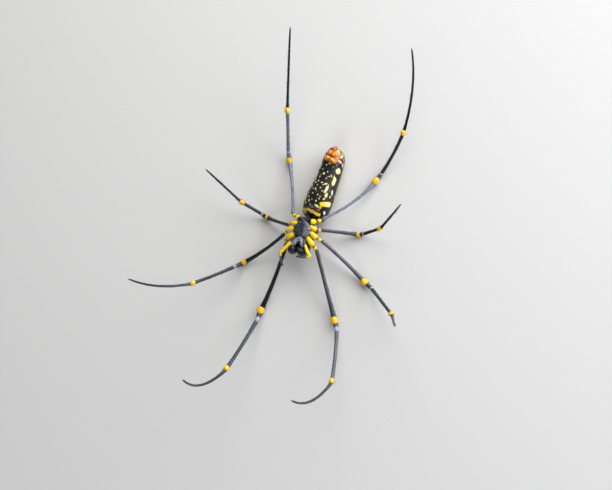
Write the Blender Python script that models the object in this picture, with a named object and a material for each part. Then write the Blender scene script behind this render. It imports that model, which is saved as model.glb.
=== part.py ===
"""Giant golden orb weaver, an adult female, lying on her back at life size.

Lengths are millimetres and angles degrees until each part is placed, in metres.
+X is the spider's right side, +Y her tail and +Z her belly. Every place is first
given from the point under the middle of her sternum, on the floor.
"""
import math

import bmesh
import bpy
import numpy as np
from mathutils import Matrix, Vector
from mathutils.bvhtree import BVHTree

MM = 0.001
GAP = 0.3
EYE_GAP = 0.12
EYE_SINK = 0.25
JAW_SIDES = 4
LEG_SIDES = 3
PALP_SIDES = 2

# Legs by pair, counted from the head: where the coxa leaves the sternum and where
# it ends, seen from the belly, then the length of each segment and the girth.
COXA_START = {1: (2.65, -2.35), 2: (3.55, -0.5), 3: (2.8, 1.4), 4: (1.2, 3.3)}
COXA_END = {1: (5.45, -5.0), 2: (6.15, -1.95), 3: (5.5, 1.1), 4: (4.05, 3.8)}
COXA_START_HEIGHT = 8.6
COXA_END_HEIGHT = 6.9
TROCHANTER_FALL = 8
TROCHANTER = {1: 1.5, 2: 1.5, 3: 1.1, 4: 2.0}
FEMUR = {1: 26.8, 2: 21.6, 3: 13.7, 4: 22.6}
PATELLA = {1: 4.2, 2: 3.9, 3: 2.4, 4: 3.4}
TIBIA = {1: 21.9, 2: 17.2, 3: 9.0, 4: 17.2}
FOOT = {1: 31.5, 2: 30.2, 3: 19.3, 4: 31.2}
GIRTH = {1: 1.0, 2: 0.9, 3: 0.84, 4: 0.9}
KNEE_RADIUS = 1.1
KNEE_SINK = 0.06

# Radius along each segment, as (share of its length, radius) of a first leg.
COXA_RADII = ((0, 0.8), (0.3, 1.02), (0.62, 1.18), (0.88, 1.02), (1, 0.82))
TROCHANTER_RADII = ((0.4, 0.92), (0.8, 0.88), (1, 0.8))
FEMUR_RADII = ((0, 0.76), (0.05, 0.8), (0.15, 0.73), (0.4, 0.73), (0.65, 0.8), (0.83, 0.88), (0.92, 0.96),
               (0.96, 1.08), (1, 1.1))
PATELLA_RADII = ((0, 1.08), (0.22, 1.0), (0.4, 0.88), (0.8, 0.82), (1, 0.76))
TIBIA_RADII = ((0.06, 0.78), (0.25, 0.69), (0.55, 0.65), (0.85, 0.69), (0.94, 0.8), (1, 0.82))
FOOT_RADII = ((0, 0.74), (0.03, 0.7), (0.1, 0.58), (0.2, 0.54), (0.32, 0.52), (0.44, 0.5), (0.56, 0.48),
              (0.68, 0.46), (0.78, 0.43), (0.87, 0.4), (0.95, 0.36), (0.985, 0.29), (1, 0.16))

# How far a bar is modelled past its root and its joints, before they are cut.
ROOT_OVERRUN = 1.0
JOINT_OVERRUN = 1.6

# The pose. A heading is counted from straight out to the side, positive towards
# the head, and a rise from the floor, positive towards the belly. A bow is the
# height of the segment's sideways arch, positive towards the head.
POSES = {
    ("right", 1): dict(stretch=0.99, trochanter=35, femur=63, bow=0.0, patella=(50, 28), tibia=(69, 26),
                       shin_bow=-0.35, foot=(91, 46), toe=(63, 101)),
    ("left", 1): dict(stretch=1.01, trochanter=100, femur=78.5, bow=0.55, patella=(99, 35), tibia=(81, 23),
                      shin_bow=0.3, foot=(80, 48), toe=(94, 107)),
    ("right", 2): dict(stretch=1.01, trochanter=10, femur=30, bow=-0.35, patella=(23, 16), tibia=(28, 30),
                       shin_bow=0.0, foot=(27, 60), toe=(-8, 69)),
    ("left", 2): dict(stretch=1.0, trochanter=60, femur=43, bow=0.6, patella=(54, 54), tibia=(41, 26),
                      shin_bow=0.25, foot=(37, 52), toe=(-22, 71)),
    ("right", 3): dict(stretch=1.0, trochanter=-20, femur=-9, bow=0.0, patella=(-20, 17), tibia=(-25, 29),
                       shin_bow=0.0, foot=(-50, 31), toe=(-36, 55)),
    ("left", 3): dict(stretch=0.97, trochanter=50, femur=-3, bow=0.2, patella=(-27, 45), tibia=(-18, 33),
                      shin_bow=0.0, foot=(-32, 31), toe=(-41, 55)),
    ("right", 4): dict(stretch=1.05, trochanter=-45, femur=-52, bow=1.5, patella=(-66, 4), tibia=(-70, 15),
                       shin_bow=0.5, foot=(-84, 10), toe=(-96, 45)),
    ("left", 4): dict(stretch=0.96, trochanter=-20, femur=-64, bow=-0.5, patella=(-85, 41), tibia=(-84, 27),
                      shin_bow=0.0, foot=(-78, 7), toe=(-86, 22)),
}

# Carapace, from the face to the rear: place along the body, height of the rim,
# half width, reach towards the belly and reach towards the back.
CARAPACE = (
    (-8.6, 4.6, 0.0, 0.0, 0.0), (-8.4, 4.65, 1.7, 0.45, 1.2), (-8.0, 4.7, 2.5, 0.55, 1.9),
    (-7.2, 4.75, 3.0, 0.55, 2.25), (-6.0, 4.8, 3.3, 0.55, 2.4), (-5.0, 4.9, 3.4, 0.9, 2.45),
    (-4.2, 5.0, 3.55, 2.2, 2.4), (-3.0, 5.15, 4.0, 2.3, 2.3), (-1.5, 5.3, 4.65, 2.35, 2.2),
    (0.0, 5.4, 4.9, 2.35, 2.1), (1.5, 5.45, 4.8, 2.3, 1.95), (2.8, 5.5, 4.3, 1.9, 1.6),
    (3.8, 5.55, 3.5, 1.2, 1.15), (4.4, 5.6, 1.9, 0.65, 0.6), (4.6, 5.65, 0.0, 0.0, 0.0),
)
CARAPACE_BACK_SQUARENESS = 2.3
CARAPACE_BELLY_SQUARENESS = 1.5
CARAPACE_MIDDLE = (0, 0, 5.4)
HORN = dict(place=(0.9, -0.6), radius=0.45, height=0.9, root=0.5, lean=(0.1, 0.15), tip_radius=0.12)

# Sternum: its outline as (angle from the head, radius), and its dome.
STERNUM_OUTLINE = ((0, 2.55), (25, 2.8), (48, 3.2), (65, 3.5), (82, 3.25), (99, 3.35),
                   (117, 2.85), (138, 3.05), (160, 3.05), (180, 3.3))
STERNUM_DOME = ((8.1, 0.0), (8.1, 0.88), (8.3, 0.98), (8.9, 1.0), (9.15, 0.93), (9.3, 0.75), (9.38, 0.4),
                (9.4, 0.0))

# Mouthparts.
LABIUM = dict(centre=(0, -3.5, 8.7), size=(0.75, 1.0, 0.6))
MAXILLA = dict(centre=(1.42, -4.7, 8.5), size=(0.7, 1.5, 0.7), toe_in=14)
CHELICERA_PATH = ((1.75, -6.8, 4.6), (1.9, -7.4, 5.9), (1.98, -7.9, 7.0), (1.98, -8.0, 8.0),
                  (1.88, -7.85, 8.9), (1.78, -7.65, 9.6), (1.72, -7.55, 9.95))
CHELICERA_RADII = (1.6, 1.74, 1.8, 1.74, 1.5, 1.15, 0.65)
FANG_PATH = ((2.35, -7.9, 10.1), (2.2, -7.6, 10.6), (1.7, -7.2, 10.85), (1.1, -6.85, 10.75),
             (0.7, -6.55, 10.4))
FANG_RADII = (0.44, 0.44, 0.36, 0.27, 0.12)

# Palps: base, knee and tip of each, with the bend of the last stretch between.
PALP_PATHS = {
    "right": ((1.9, -4.2, 8.75), (2.7, -5.0, 9.1), (4.3, -7.0, 9.6), (5.7, -8.8, 9.8),
              (3.8, -9.7, 10.3), (1.8, -9.8, 10.1), (0.9, -10.1, 9.3)),
    "left": ((-1.9, -4.2, 8.75), (-2.7, -5.3, 9.1), (-4.1, -7.9, 9.6), (-5.3, -10.2, 9.8),
             (-5.0, -12.0, 9.1), (-4.6, -13.6, 8.1), (-4.2, -14.4, 7.2)),
}
PALP_RADII = (0.5, 0.52, 0.62, 0.6, 0.5, 0.46, 0.28)
PALP_KNEE = 3

# Abdomen, from the waist to the tail along its own axis: place along it, height
# of the axis, half width, reach towards the belly and reach towards the back.
# The axis turns from the body's line, and its end swings back by a last amount.
ABDOMEN_START = (0.85, 4.1)
ABDOMEN_TURN = 8
ABDOMEN_SWING = 1.4
ABDOMEN = (
    (0.0, 3.2, 0.0, 0.0, 0.0), (0.15, 3.2, 2.2, 0.9, 1.3), (0.5, 3.4, 3.5, 1.5, 2.3),
    (1.2, 3.8, 4.2, 2.4, 3.1), (2.6, 4.3, 4.65, 3.6, 3.85), (4.8, 4.65, 4.85, 4.3, 4.6),
    (7.6, 4.85, 5.0, 4.55, 4.95), (10.4, 4.75, 4.75, 4.5, 4.8), (13.4, 4.55, 4.4, 4.3, 4.5),
    (16.4, 4.35, 4.2, 4.1, 4.25), (19.4, 4.2, 4.05, 3.95, 4.05), (22.4, 4.1, 3.9, 3.8, 3.85),
    (24.8, 4.0, 3.5, 3.35, 3.35), (26.4, 3.95, 2.65, 2.5, 2.5), (27.3, 3.9, 1.5, 1.5, 1.5),
    (27.6, 3.85, 0.0, 0.0, 0.0),
)
ABDOMEN_SQUARENESS = 2.15
PEDICEL_PATH = ((0, 3.6, 5.75), (0.05, 4.9, 5.85), (0.4, 5.6, 6.0), (0.8, 6.8, 6.1))
PEDICEL_RADII = (0.6, 0.6, 0.72, 0.8)

# Spinnerets and anal tubercle, in the abdomen's own frame: root and tip as
# (sideways, along, height), and the radius at the root, the middle and the tip.
SPINNERETS = {
    "front": dict(root=(1.25, 22.6, 6.2), tip=(1.0, 23.2, 9.7), radii=(1.05, 1.05, 0.86, 0.32)),
    "rear": dict(root=(1.2, 24.9, 5.8), tip=(0.95, 25.2, 9.2), radii=(1.0, 0.98, 0.8, 0.3)),
}
ANAL_TUBERCLE = dict(root=(0, 26.1, 4.6), tip=(0, 27.2, 7.3), radii=(0.8, 0.75, 0.6, 0.25))
CONE_SHARES = (0, 0.5, 0.85, 1)

# Eyes: sideways, along and height of the point each looks out towards, and radius.
HEAD_CENTRE = (0, -6.0, 4.4)
EYES = {
    "front_middle": ((0.62, -9.0, 3.9), 0.3),
    "rear_middle": ((0.75, -8.6, 2.2), 0.28),
    "front_side": ((2.5, -8.4, 4.0), 0.26),
    "rear_side": ((2.6, -8.0, 3.1), 0.26),
}

BLACK = "0E0D10"
GREY = "3A3A42"
YELLOW = "E9B90C"
ORANGE = "B8480C"


def linear(hex_colour):
    channels = [int(hex_colour[i:i + 2], 16) / 255 for i in (0, 2, 4)]
    return [c / 12.92 if c <= 0.04045 else ((c + 0.055) / 1.055) ** 2.4 for c in channels]


def make_material(name, colour, roughness):
    material = bpy.data.materials.new(name)
    material.use_nodes = True
    shader = material.node_tree.nodes["Principled BSDF"]
    shader.inputs["Base Color"].default_value = (*linear(colour), 1)
    shader.inputs["Roughness"].default_value = roughness
    return material


def between(rows, count):
    """Rows of numbers along one smooth curve through the given rows."""
    table = np.array(rows, dtype=float)
    last = len(table) - 1
    out = []
    for place in np.linspace(0, last, count):
        i = min(int(place), last - 1)
        t = place - i
        a, b = table[max(i - 1, 0)], table[i]
        c, d = table[i + 1], table[min(i + 2, last)]
        out.append(0.5 * (2 * b + (c - a) * t + (2 * a - 5 * b + 4 * c - d) * t ** 2
                          + (3 * b - a - 3 * c + d) * t ** 3))
    return out


def close_rings(rings):
    """A closed skin over rings of equal count, whose end rings may be points."""
    mesh = bmesh.new()
    loops = [[mesh.verts.new(point) for point in ring] for ring in rings]
    sides = len(loops[0])
    for low, high in zip(loops, loops[1:]):
        for i in range(sides):
            j = (i + 1) % sides
            mesh.faces.new((low[i], low[j], high[j], high[i]))
    mesh.faces.new(loops[0])
    mesh.faces.new(loops[-1])
    bmesh.ops.remove_doubles(mesh, verts=mesh.verts, dist=0.001)
    bmesh.ops.recalc_face_normals(mesh, faces=mesh.faces)
    return mesh


def section(half_width, belly, back, belly_squareness, back_squareness, sides):
    """Points round one cross-section, from the right side over the belly."""
    points = []
    for i in range(sides):
        angle = 2 * math.pi * i / sides
        across, up = math.cos(angle), math.sin(angle)
        squareness = belly_squareness if up > 0 else back_squareness
        reach = belly if up > 0 else back
        x = half_width * math.copysign(abs(across) ** (2 / squareness), across)
        z = reach * math.copysign(abs(up) ** (2 / squareness), up)
        points.append((x, z))
    return points


def carapace_shape(grow=0.0, rings=24, sides=28):
    skin = []
    for y, rim, half_width, belly, back in between(CARAPACE, rings):
        half_width, belly, back = max(half_width, 0), max(belly, 0), max(back, 0)
        ends = (y - CARAPACE[0][0]) / (CARAPACE[-1][0] - CARAPACE[0][0]) * 2 - 1
        outline = section(half_width + grow, belly + grow, back + grow,
                          CARAPACE_BELLY_SQUARENESS, CARAPACE_BACK_SQUARENESS, sides)
        skin.append([(x, y + grow * ends, rim + z) for x, z in outline])
    return close_rings(skin)


def abdomen_place(across, along, height):
    """A point given by its place beside, along and above the abdomen's axis."""
    turn = math.radians(ABDOMEN_TURN)
    across -= ABDOMEN_SWING * max(along / ABDOMEN[-1][0], 0) ** 3
    return Vector((ABDOMEN_START[0] + along * math.sin(turn) + across * math.cos(turn),
                   ABDOMEN_START[1] + along * math.cos(turn) - across * math.sin(turn), height))


def abdomen_shape(grow=0.0, rings=30, sides=26):
    skin = []
    length = ABDOMEN[-1][0]
    for along, axis, half_width, belly, back in between(ABDOMEN, rings):
        half_width, belly, back = max(half_width, 0), max(belly, 0), max(back, 0)
        outline = section(half_width + grow, belly + grow, back + grow,
                          ABDOMEN_SQUARENESS, ABDOMEN_SQUARENESS, sides)
        place = along + grow * (2 * along / length - 1)
        skin.append([abdomen_place(x, place, axis + z) for x, z in outline])
    return close_rings(skin)


def sternum_shape(grow=0.0, sides=36):
    angles = [a for a, _ in STERNUM_OUTLINE]
    radii = [r for _, r in STERNUM_OUTLINE]
    skin = []
    for height, share in STERNUM_DOME:
        ring = []
        for i in range(sides):
            angle = 360 * i / sides
            radius = np.interp(min(angle, 360 - angle), angles, radii) * share + (grow if share else 0)
            ring.append((radius * math.sin(math.radians(angle)), -radius * math.cos(math.radians(angle)),
                         height + (grow if height > 8.5 else -grow)))
        skin.append(ring)
    return close_rings(skin)


def ball_shape(centre, size, turn=0.0, segments=14, rings=9):
    mesh = bmesh.new()
    bmesh.ops.create_uvsphere(mesh, u_segments=segments, v_segments=rings, radius=1)
    turned = Matrix.Rotation(math.radians(turn), 4, "Z")
    shape = Matrix.Translation(centre) @ turned @ Matrix.Diagonal((*size, 1))
    bmesh.ops.transform(mesh, matrix=shape, verts=mesh.verts)
    return mesh


def tube_shape(points, radii, sides):
    """A round bar along the points, each with its own radius."""
    curve = bpy.data.curves.new("bar", "CURVE")
    curve.dimensions = "3D"
    curve.bevel_depth = 1.0
    curve.bevel_resolution = sides
    curve.use_fill_caps = True
    line = curve.splines.new("POLY")
    line.points.add(len(points) - 1)
    for knot, point, radius in zip(line.points, points, radii):
        knot.co = (*point, 1)
        knot.radius = radius
    bar = bpy.data.objects.new("bar", curve)
    bpy.context.scene.collection.objects.link(bar)
    bpy.context.view_layer.update()
    evaluated = bar.evaluated_get(bpy.context.evaluated_depsgraph_get())
    flesh = bpy.data.meshes.new_from_object(evaluated)
    mesh = bmesh.new()
    mesh.from_mesh(flesh)
    bpy.data.meshes.remove(flesh)
    bpy.data.objects.remove(bar)
    bpy.data.curves.remove(curve)
    bmesh.ops.remove_doubles(mesh, verts=mesh.verts, dist=0.001)
    bmesh.ops.recalc_face_normals(mesh, faces=mesh.faces)
    return mesh


def trim(mesh, point, normal):
    """Cuts off what lies beyond the plane, and closes the cut."""
    everything = mesh.verts[:] + mesh.edges[:] + mesh.faces[:]
    cut = bmesh.ops.bisect_plane(mesh, geom=everything, dist=0.0001, plane_co=point, plane_no=normal,
                                 clear_outer=True)["geom_cut"]
    edges = [item for item in cut if isinstance(item, bmesh.types.BMEdge)]
    bmesh.ops.holes_fill(mesh, edges=edges, sides=0)


def rest_on_floor(mesh):
    trim(mesh, (0, 0, 0), (0, 0, -1))


def keep_largest(mesh):
    """Drops any loose scrap that a cut has left."""
    islands = []
    unseen = set(mesh.verts)
    while unseen:
        island = {unseen.pop()}
        edge_of_search = list(island)
        while edge_of_search:
            vertex = edge_of_search.pop()
            for edge in vertex.link_edges:
                other = edge.other_vert(vertex)
                if other in unseen:
                    unseen.discard(other)
                    island.add(other)
                    edge_of_search.append(other)
        islands.append(island)
    largest = max(islands, key=len)
    scraps = [vertex for island in islands if island is not largest for vertex in island]
    bmesh.ops.delete(mesh, geom=scraps, context="VERTS")


def combine(mesh, others, operation):
    """Joins the other shapes to this one, or carves them out of it."""
    piece_data = bpy.data.meshes.new("piece")
    mesh.to_mesh(piece_data)
    piece = bpy.data.objects.new("piece", piece_data)
    bpy.context.scene.collection.objects.link(piece)
    tools = bpy.data.collections.new("tools")
    bpy.context.scene.collection.children.link(tools)
    for other in others:
        data = bpy.data.meshes.new("tool")
        other.to_mesh(data)
        tools.objects.link(bpy.data.objects.new("tool", data))
    boolean = piece.modifiers.new("combine", "BOOLEAN")
    boolean.operation = operation
    boolean.operand_type = "COLLECTION"
    boolean.collection = tools
    boolean.solver = "EXACT"
    bpy.context.view_layer.update()
    evaluated = piece.evaluated_get(bpy.context.evaluated_depsgraph_get())
    result = bmesh.new()
    result.from_mesh(evaluated.to_mesh())
    evaluated.to_mesh_clear()
    for tool in list(tools.objects):
        bpy.data.objects.remove(tool)
    bpy.data.collections.remove(tools)
    bpy.data.objects.remove(piece)
    bmesh.ops.remove_doubles(result, verts=result.verts, dist=0.0005)
    keep_largest(result)
    return result


def add_part(name, mesh, colour, roughness, origin):
    """Places a finished shape as a named object whose own origin is given."""
    bmesh.ops.triangulate(mesh, faces=mesh.faces)
    bmesh.ops.translate(mesh, verts=mesh.verts, vec=-Vector(origin))
    bmesh.ops.scale(mesh, verts=mesh.verts, vec=(MM, MM, MM))
    data = bpy.data.meshes.new(name)
    mesh.to_mesh(data)
    mesh.free()
    data.shade_smooth()
    data.set_sharp_from_angle(angle=math.radians(40))
    data.materials.append(make_material(name, colour, roughness))
    part = bpy.data.objects.new(name, data)
    part.location = Vector(origin) * MM
    part.parent = spider
    body.objects.link(part)
    return part


def heading_vector(side, heading, rise):
    """The direction of a heading and rise, on the given side of the body."""
    heading, rise = math.radians(heading), math.radians(rise)
    level = math.cos(rise)
    return Vector((side * math.cos(heading) * level, -math.sin(heading) * level, math.sin(rise)))


def leg_joints(side, pair, pose):
    """Where each joint of a leg lies, and the line of its foot."""
    reach = pose["stretch"]
    start = Vector((side * COXA_START[pair][0], COXA_START[pair][1], COXA_START_HEIGHT))
    hip = Vector((side * COXA_END[pair][0], COXA_END[pair][1], COXA_END_HEIGHT))
    femur_start = hip + TROCHANTER[pair] * heading_vector(side, pose["trochanter"], -TROCHANTER_FALL)
    knee_height = KNEE_RADIUS * GIRTH[pair] - KNEE_SINK
    femur_length = FEMUR[pair] * reach
    femur_rise = math.degrees(math.asin((knee_height - femur_start.z) / femur_length))
    knee = femur_start + femur_length * heading_vector(side, pose["femur"], femur_rise)
    shin = knee + PATELLA[pair] * reach * heading_vector(side, *pose["patella"])
    ankle = shin + TIBIA[pair] * reach * heading_vector(side, *pose["tibia"])
    first = heading_vector(side, *pose["foot"])
    last = heading_vector(side, *pose["toe"])
    steps = 40
    line = [ankle]
    for i in range(steps):
        line.append(line[-1] + FOOT[pair] * reach / steps * first.slerp(last, (i + 0.5) / steps))
    return start, hip, femur_start, knee, shin, ankle, line


def along_segment(start, end, radii, girth, bow=0.0, side=1):
    """Points and radii along a segment that may arch sideways."""
    run = end - start
    sideways = Vector((0, 0, side)).cross(run).normalized() * -1
    points = [start + run * share + sideways * bow * 4 * share * (1 - share) for share, _ in radii]
    return points, [radius * girth for _, radius in radii]


def along_line(line, radii, girth):
    last = len(line) - 1
    points = []
    for share, _ in radii:
        place = share * last
        i = min(int(place), last - 1)
        points.append(line[i].lerp(line[i + 1], place - i))
    return points, [radius * girth for _, radius in radii]


def extend(points, radii, before=0.0, after=0.0):
    """Runs a bar straight on past its ends, so that a joint's plane can cut it."""
    points, radii = list(points), list(radii)
    if before:
        points.insert(0, points[0] + (points[0] - points[1]).normalized() * before)
        radii.insert(0, radii[0])
    if after:
        points.append(points[-1] + (points[-1] - points[-2]).normalized() * after)
        radii.append(radii[-1])
    return points, radii


def joint_plane(points_before, joint, points_after):
    """The direction that halves the bend at a joint."""
    incoming = (joint - points_before[-2]).normalized()
    outgoing = (points_after[1] - joint).normalized()
    return (incoming + outgoing).normalized()


def build_leg(side_name, pair, pose):
    side = 1 if side_name == "right" else -1
    girth = GIRTH[pair]
    start, hip, femur_start, knee, shin, ankle, line = leg_joints(side, pair, pose)
    coxa, coxa_radii = along_segment(start, hip, COXA_RADII, girth)
    trochanter, trochanter_radii = along_segment(hip, femur_start, TROCHANTER_RADII, girth)
    femur, femur_radii = along_segment(femur_start, knee, FEMUR_RADII, girth, pose["bow"], side)
    patella, patella_radii = along_segment(knee, shin, PATELLA_RADII, girth)
    tibia, tibia_radii = along_segment(shin, ankle, TIBIA_RADII, girth, pose["shin_bow"], side)
    foot, foot_radii = along_line(line, FOOT_RADII, girth)
    hip_line, hip_radii = coxa + trochanter, coxa_radii + trochanter_radii
    shin_line, shin_radii = patella + tibia, patella_radii + tibia_radii
    leg = f"leg{pair}_{side_name}"

    half = GAP / 2
    at_femur = joint_plane(hip_line, femur_start, femur)
    at_knee = joint_plane(femur, knee, shin_line)
    at_ankle = joint_plane(shin_line, ankle, foot)

    mesh = tube_shape(*extend(hip_line, hip_radii, ROOT_OVERRUN, JOINT_OVERRUN), LEG_SIDES)
    trim(mesh, femur_start - at_femur * half, at_femur)
    mesh = combine(mesh, [sternum_shape(GAP), carapace_shape(GAP)], "DIFFERENCE")
    add_part(f"{leg}_coxa", mesh, YELLOW, 0.4, start)

    mesh = tube_shape(*extend(femur, femur_radii, JOINT_OVERRUN, JOINT_OVERRUN), LEG_SIDES)
    trim(mesh, femur_start + at_femur * half, -at_femur)
    trim(mesh, knee - at_knee * half, at_knee)
    rest_on_floor(mesh)
    add_part(f"{leg}_femur", mesh, BLACK, 0.35, femur_start)

    mesh = tube_shape(*extend(shin_line, shin_radii, JOINT_OVERRUN, JOINT_OVERRUN), LEG_SIDES)
    trim(mesh, knee + at_knee * half, -at_knee)
    trim(mesh, ankle - at_ankle * half, at_ankle)
    rest_on_floor(mesh)
    add_part(f"{leg}_tibia", mesh, BLACK, 0.35, knee)

    mesh = tube_shape(*extend(foot, foot_radii, before=JOINT_OVERRUN), PALP_SIDES)
    trim(mesh, ankle + at_ankle * half, -at_ankle)
    add_part(f"{leg}_foot", mesh, BLACK, 0.4, ankle)


def eye_places(head):
    """Where each eye sits, on the surface of the head."""
    surface = BVHTree.FromBMesh(head)
    places = {}
    for name, ((x, y, z), radius) in EYES.items():
        for side_name, side in (("right", 1), ("left", -1)):
            centre = Vector(HEAD_CENTRE)
            outwards = (Vector((side * x, y, z)) - centre).normalized()
            hit = surface.ray_cast(centre + outwards * 10, -outwards)[0]
            places[f"eye_{name}_{side_name}"] = (hit - outwards * radius * EYE_SINK, radius)
    return places


def build_carapace():
    mesh = carapace_shape()
    horns = []
    for side in (1, -1):
        x, y = HORN["place"]
        surface = BVHTree.FromBMesh(mesh).ray_cast(Vector((side * x, y, 0)), Vector((0, 0, 1)))[0]
        root = surface + Vector((0, 0, HORN["root"]))
        tip = surface + Vector((side * HORN["lean"][0], HORN["lean"][1], -HORN["height"]))
        radii = (HORN["radius"], HORN["radius"] * 0.75, HORN["tip_radius"])
        horns.append(tube_shape((root, root.lerp(tip, 0.6), tip), radii, PALP_SIDES))
    mesh = combine(mesh, horns, "UNION")
    eyes = eye_places(mesh)
    sockets = [ball_shape(centre, [radius + EYE_GAP] * 3, segments=12, rings=8)
               for centre, radius in eyes.values()]
    mesh = combine(mesh, sockets, "DIFFERENCE")
    add_part("carapace", mesh, BLACK, 0.5, CARAPACE_MIDDLE)
    for name, (centre, radius) in eyes.items():
        add_part(name, ball_shape(centre, [radius] * 3, segments=12, rings=8), BLACK, 0.08, centre)


def build_mouthparts():
    skins = [sternum_shape(GAP), carapace_shape(GAP)]
    mesh = combine(ball_shape(LABIUM["centre"], LABIUM["size"]), skins, "DIFFERENCE")
    add_part("labium", mesh, GREY, 0.6, LABIUM["centre"])
    for side_name, side in (("right", 1), ("left", -1)):
        x, y, z = MAXILLA["centre"]
        centre = Vector((side * x, y, z))
        mesh = ball_shape(centre, MAXILLA["size"], side * MAXILLA["toe_in"])
        mesh = combine(mesh, skins, "DIFFERENCE")
        add_part(f"maxilla_{side_name}", mesh, GREY, 0.6, centre)

        jaw_path = [Vector((side * px, py, pz)) for px, py, pz in CHELICERA_PATH]
        jaw = tube_shape(jaw_path, CHELICERA_RADII, JAW_SIDES)
        trim(jaw, (side * GAP / 2, 0, 0), (-side, 0, 0))
        jaw = combine(jaw, [carapace_shape(GAP)], "DIFFERENCE")
        add_part(f"chelicera_{side_name}", jaw, BLACK, 0.2, jaw_path[1])

        fang_path = [Vector((side * px, py, pz)) for px, py, pz in FANG_PATH]
        wider = tube_shape(jaw_path, [radius + GAP for radius in CHELICERA_RADII], JAW_SIDES)
        bmesh.ops.translate(wider, verts=wider.verts, vec=(0, 0, GAP))
        fang = combine(tube_shape(fang_path, FANG_RADII, PALP_SIDES), [wider], "DIFFERENCE")
        add_part(f"fang_{side_name}", fang, BLACK, 0.2, fang_path[0])


def build_palps():
    for side_name, side in (("right", 1), ("left", -1)):
        path = [Vector(point) for point in PALP_PATHS[side_name]]
        upper, upper_radii = path[:PALP_KNEE + 1], PALP_RADII[:PALP_KNEE + 1]
        tip, tip_radii = path[PALP_KNEE:], PALP_RADII[PALP_KNEE:]
        knee = path[PALP_KNEE]
        at_knee = joint_plane(upper, knee, tip)
        x, y, z = MAXILLA["centre"]
        wider = ball_shape(Vector((side * x, y, z)), [half + GAP for half in MAXILLA["size"]],
                           side * MAXILLA["toe_in"])
        mesh = tube_shape(*extend(upper, upper_radii, after=JOINT_OVERRUN), PALP_SIDES)
        trim(mesh, knee - at_knee * GAP / 2, at_knee)
        mesh = combine(mesh, [wider], "DIFFERENCE")
        add_part(f"palp_{side_name}_femur", mesh, YELLOW, 0.4, path[0])
        mesh = tube_shape(*extend(tip, tip_radii, before=JOINT_OVERRUN), PALP_SIDES)
        trim(mesh, knee + at_knee * GAP / 2, -at_knee)
        add_part(f"palp_{side_name}_tip", mesh, GREY, 0.5, knee)


def build_abdomen():
    mesh = abdomen_shape()
    rest_on_floor(mesh)
    add_part("abdomen", mesh, BLACK, 0.35, abdomen_place(0, 0, ABDOMEN[0][1]))
    mesh = tube_shape([Vector(point) for point in PEDICEL_PATH], PEDICEL_RADII, PALP_SIDES)
    mesh = combine(mesh, [carapace_shape(GAP), abdomen_shape(GAP)], "DIFFERENCE")
    add_part("pedicel", mesh, GREY, 0.5, PEDICEL_PATH[1])


def build_spinnerets():
    wider = abdomen_shape(GAP)
    cones = {"anal_tubercle": (1, ANAL_TUBERCLE)}
    for row, cone in SPINNERETS.items():
        cones[f"spinneret_{row}_right"] = (1, cone)
        cones[f"spinneret_{row}_left"] = (-1, cone)
    for name, (side, cone) in cones.items():
        root_across, root_along, root_height = cone["root"]
        tip_across, tip_along, tip_height = cone["tip"]
        root = abdomen_place(side * root_across, root_along, root_height)
        tip = abdomen_place(side * tip_across, tip_along, tip_height)
        path = [root.lerp(tip, share) for share in CONE_SHARES]
        mesh = combine(tube_shape(path, cone["radii"], LEG_SIDES), [wider], "DIFFERENCE")
        add_part(name, mesh, ORANGE, 0.5, root)


def centre_on_floor():
    """Moves the whole spider so that the middle of her box is the frame's origin."""
    bpy.context.view_layer.update()
    corners = [part.matrix_world @ Vector(corner) for part in body.objects if part.type == "MESH"
               for corner in part.bound_box]
    for axis in (0, 1):
        low = min(corner[axis] for corner in corners)
        high = max(corner[axis] for corner in corners)
        spider.location[axis] -= (low + high) / 2
    bpy.context.view_layer.update()


for thing in list(bpy.data.objects):
    bpy.data.objects.remove(thing)
body = bpy.data.collections.new("golden orb weaver")
bpy.context.scene.collection.children.link(body)
spider = bpy.data.objects.new("spider", None)
body.objects.link(spider)

build_carapace()
add_part("sternum", sternum_shape(), BLACK, 0.3, (0, 0, STERNUM_DOME[-1][0]))
build_mouthparts()
build_palps()
build_abdomen()
build_spinnerets()
for (side_name, pair), pose in POSES.items():
    build_leg(side_name, pair, pose)
centre_on_floor()
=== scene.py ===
import math

import bmesh
import bpy
import numpy as np
from mathutils import Matrix, Vector, noise
from mathutils.bvhtree import BVHTree


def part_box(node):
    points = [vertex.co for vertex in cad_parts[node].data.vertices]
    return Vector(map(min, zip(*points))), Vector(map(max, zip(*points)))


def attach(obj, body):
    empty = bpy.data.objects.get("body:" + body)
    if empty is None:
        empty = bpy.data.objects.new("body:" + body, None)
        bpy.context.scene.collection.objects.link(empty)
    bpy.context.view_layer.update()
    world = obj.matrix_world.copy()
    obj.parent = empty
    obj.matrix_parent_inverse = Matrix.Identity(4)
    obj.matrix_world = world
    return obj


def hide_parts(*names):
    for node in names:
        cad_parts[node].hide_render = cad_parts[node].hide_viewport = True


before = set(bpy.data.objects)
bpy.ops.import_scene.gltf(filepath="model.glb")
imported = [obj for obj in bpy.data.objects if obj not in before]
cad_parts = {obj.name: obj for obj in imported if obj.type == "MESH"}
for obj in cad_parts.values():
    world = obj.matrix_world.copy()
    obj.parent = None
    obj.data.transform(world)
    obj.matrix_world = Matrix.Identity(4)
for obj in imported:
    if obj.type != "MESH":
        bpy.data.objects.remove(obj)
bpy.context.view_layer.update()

# Table top: a plain pale board under the model, of painted plaster with a fine tooth.
# Sizes in this file are in millimetres as the spider lies: +X to its right, +Y to its tail, +Z to its belly.
MM = 0.001
BOARD_SIZE = 1500
BOARD_TOOTH = 0.8
BOARD_COLOURS = ("#e2e0da", "#eae8e3")


def linear(colour):
    """A Blender colour from an sRGB hex value."""
    parts = [int(colour[at:at + 2], 16) / 255 for at in (1, 3, 5)]
    return [part / 12.92 if part <= 0.04045 else ((part + 0.055) / 1.055) ** 2.4 for part in parts] + [1.0]


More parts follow.
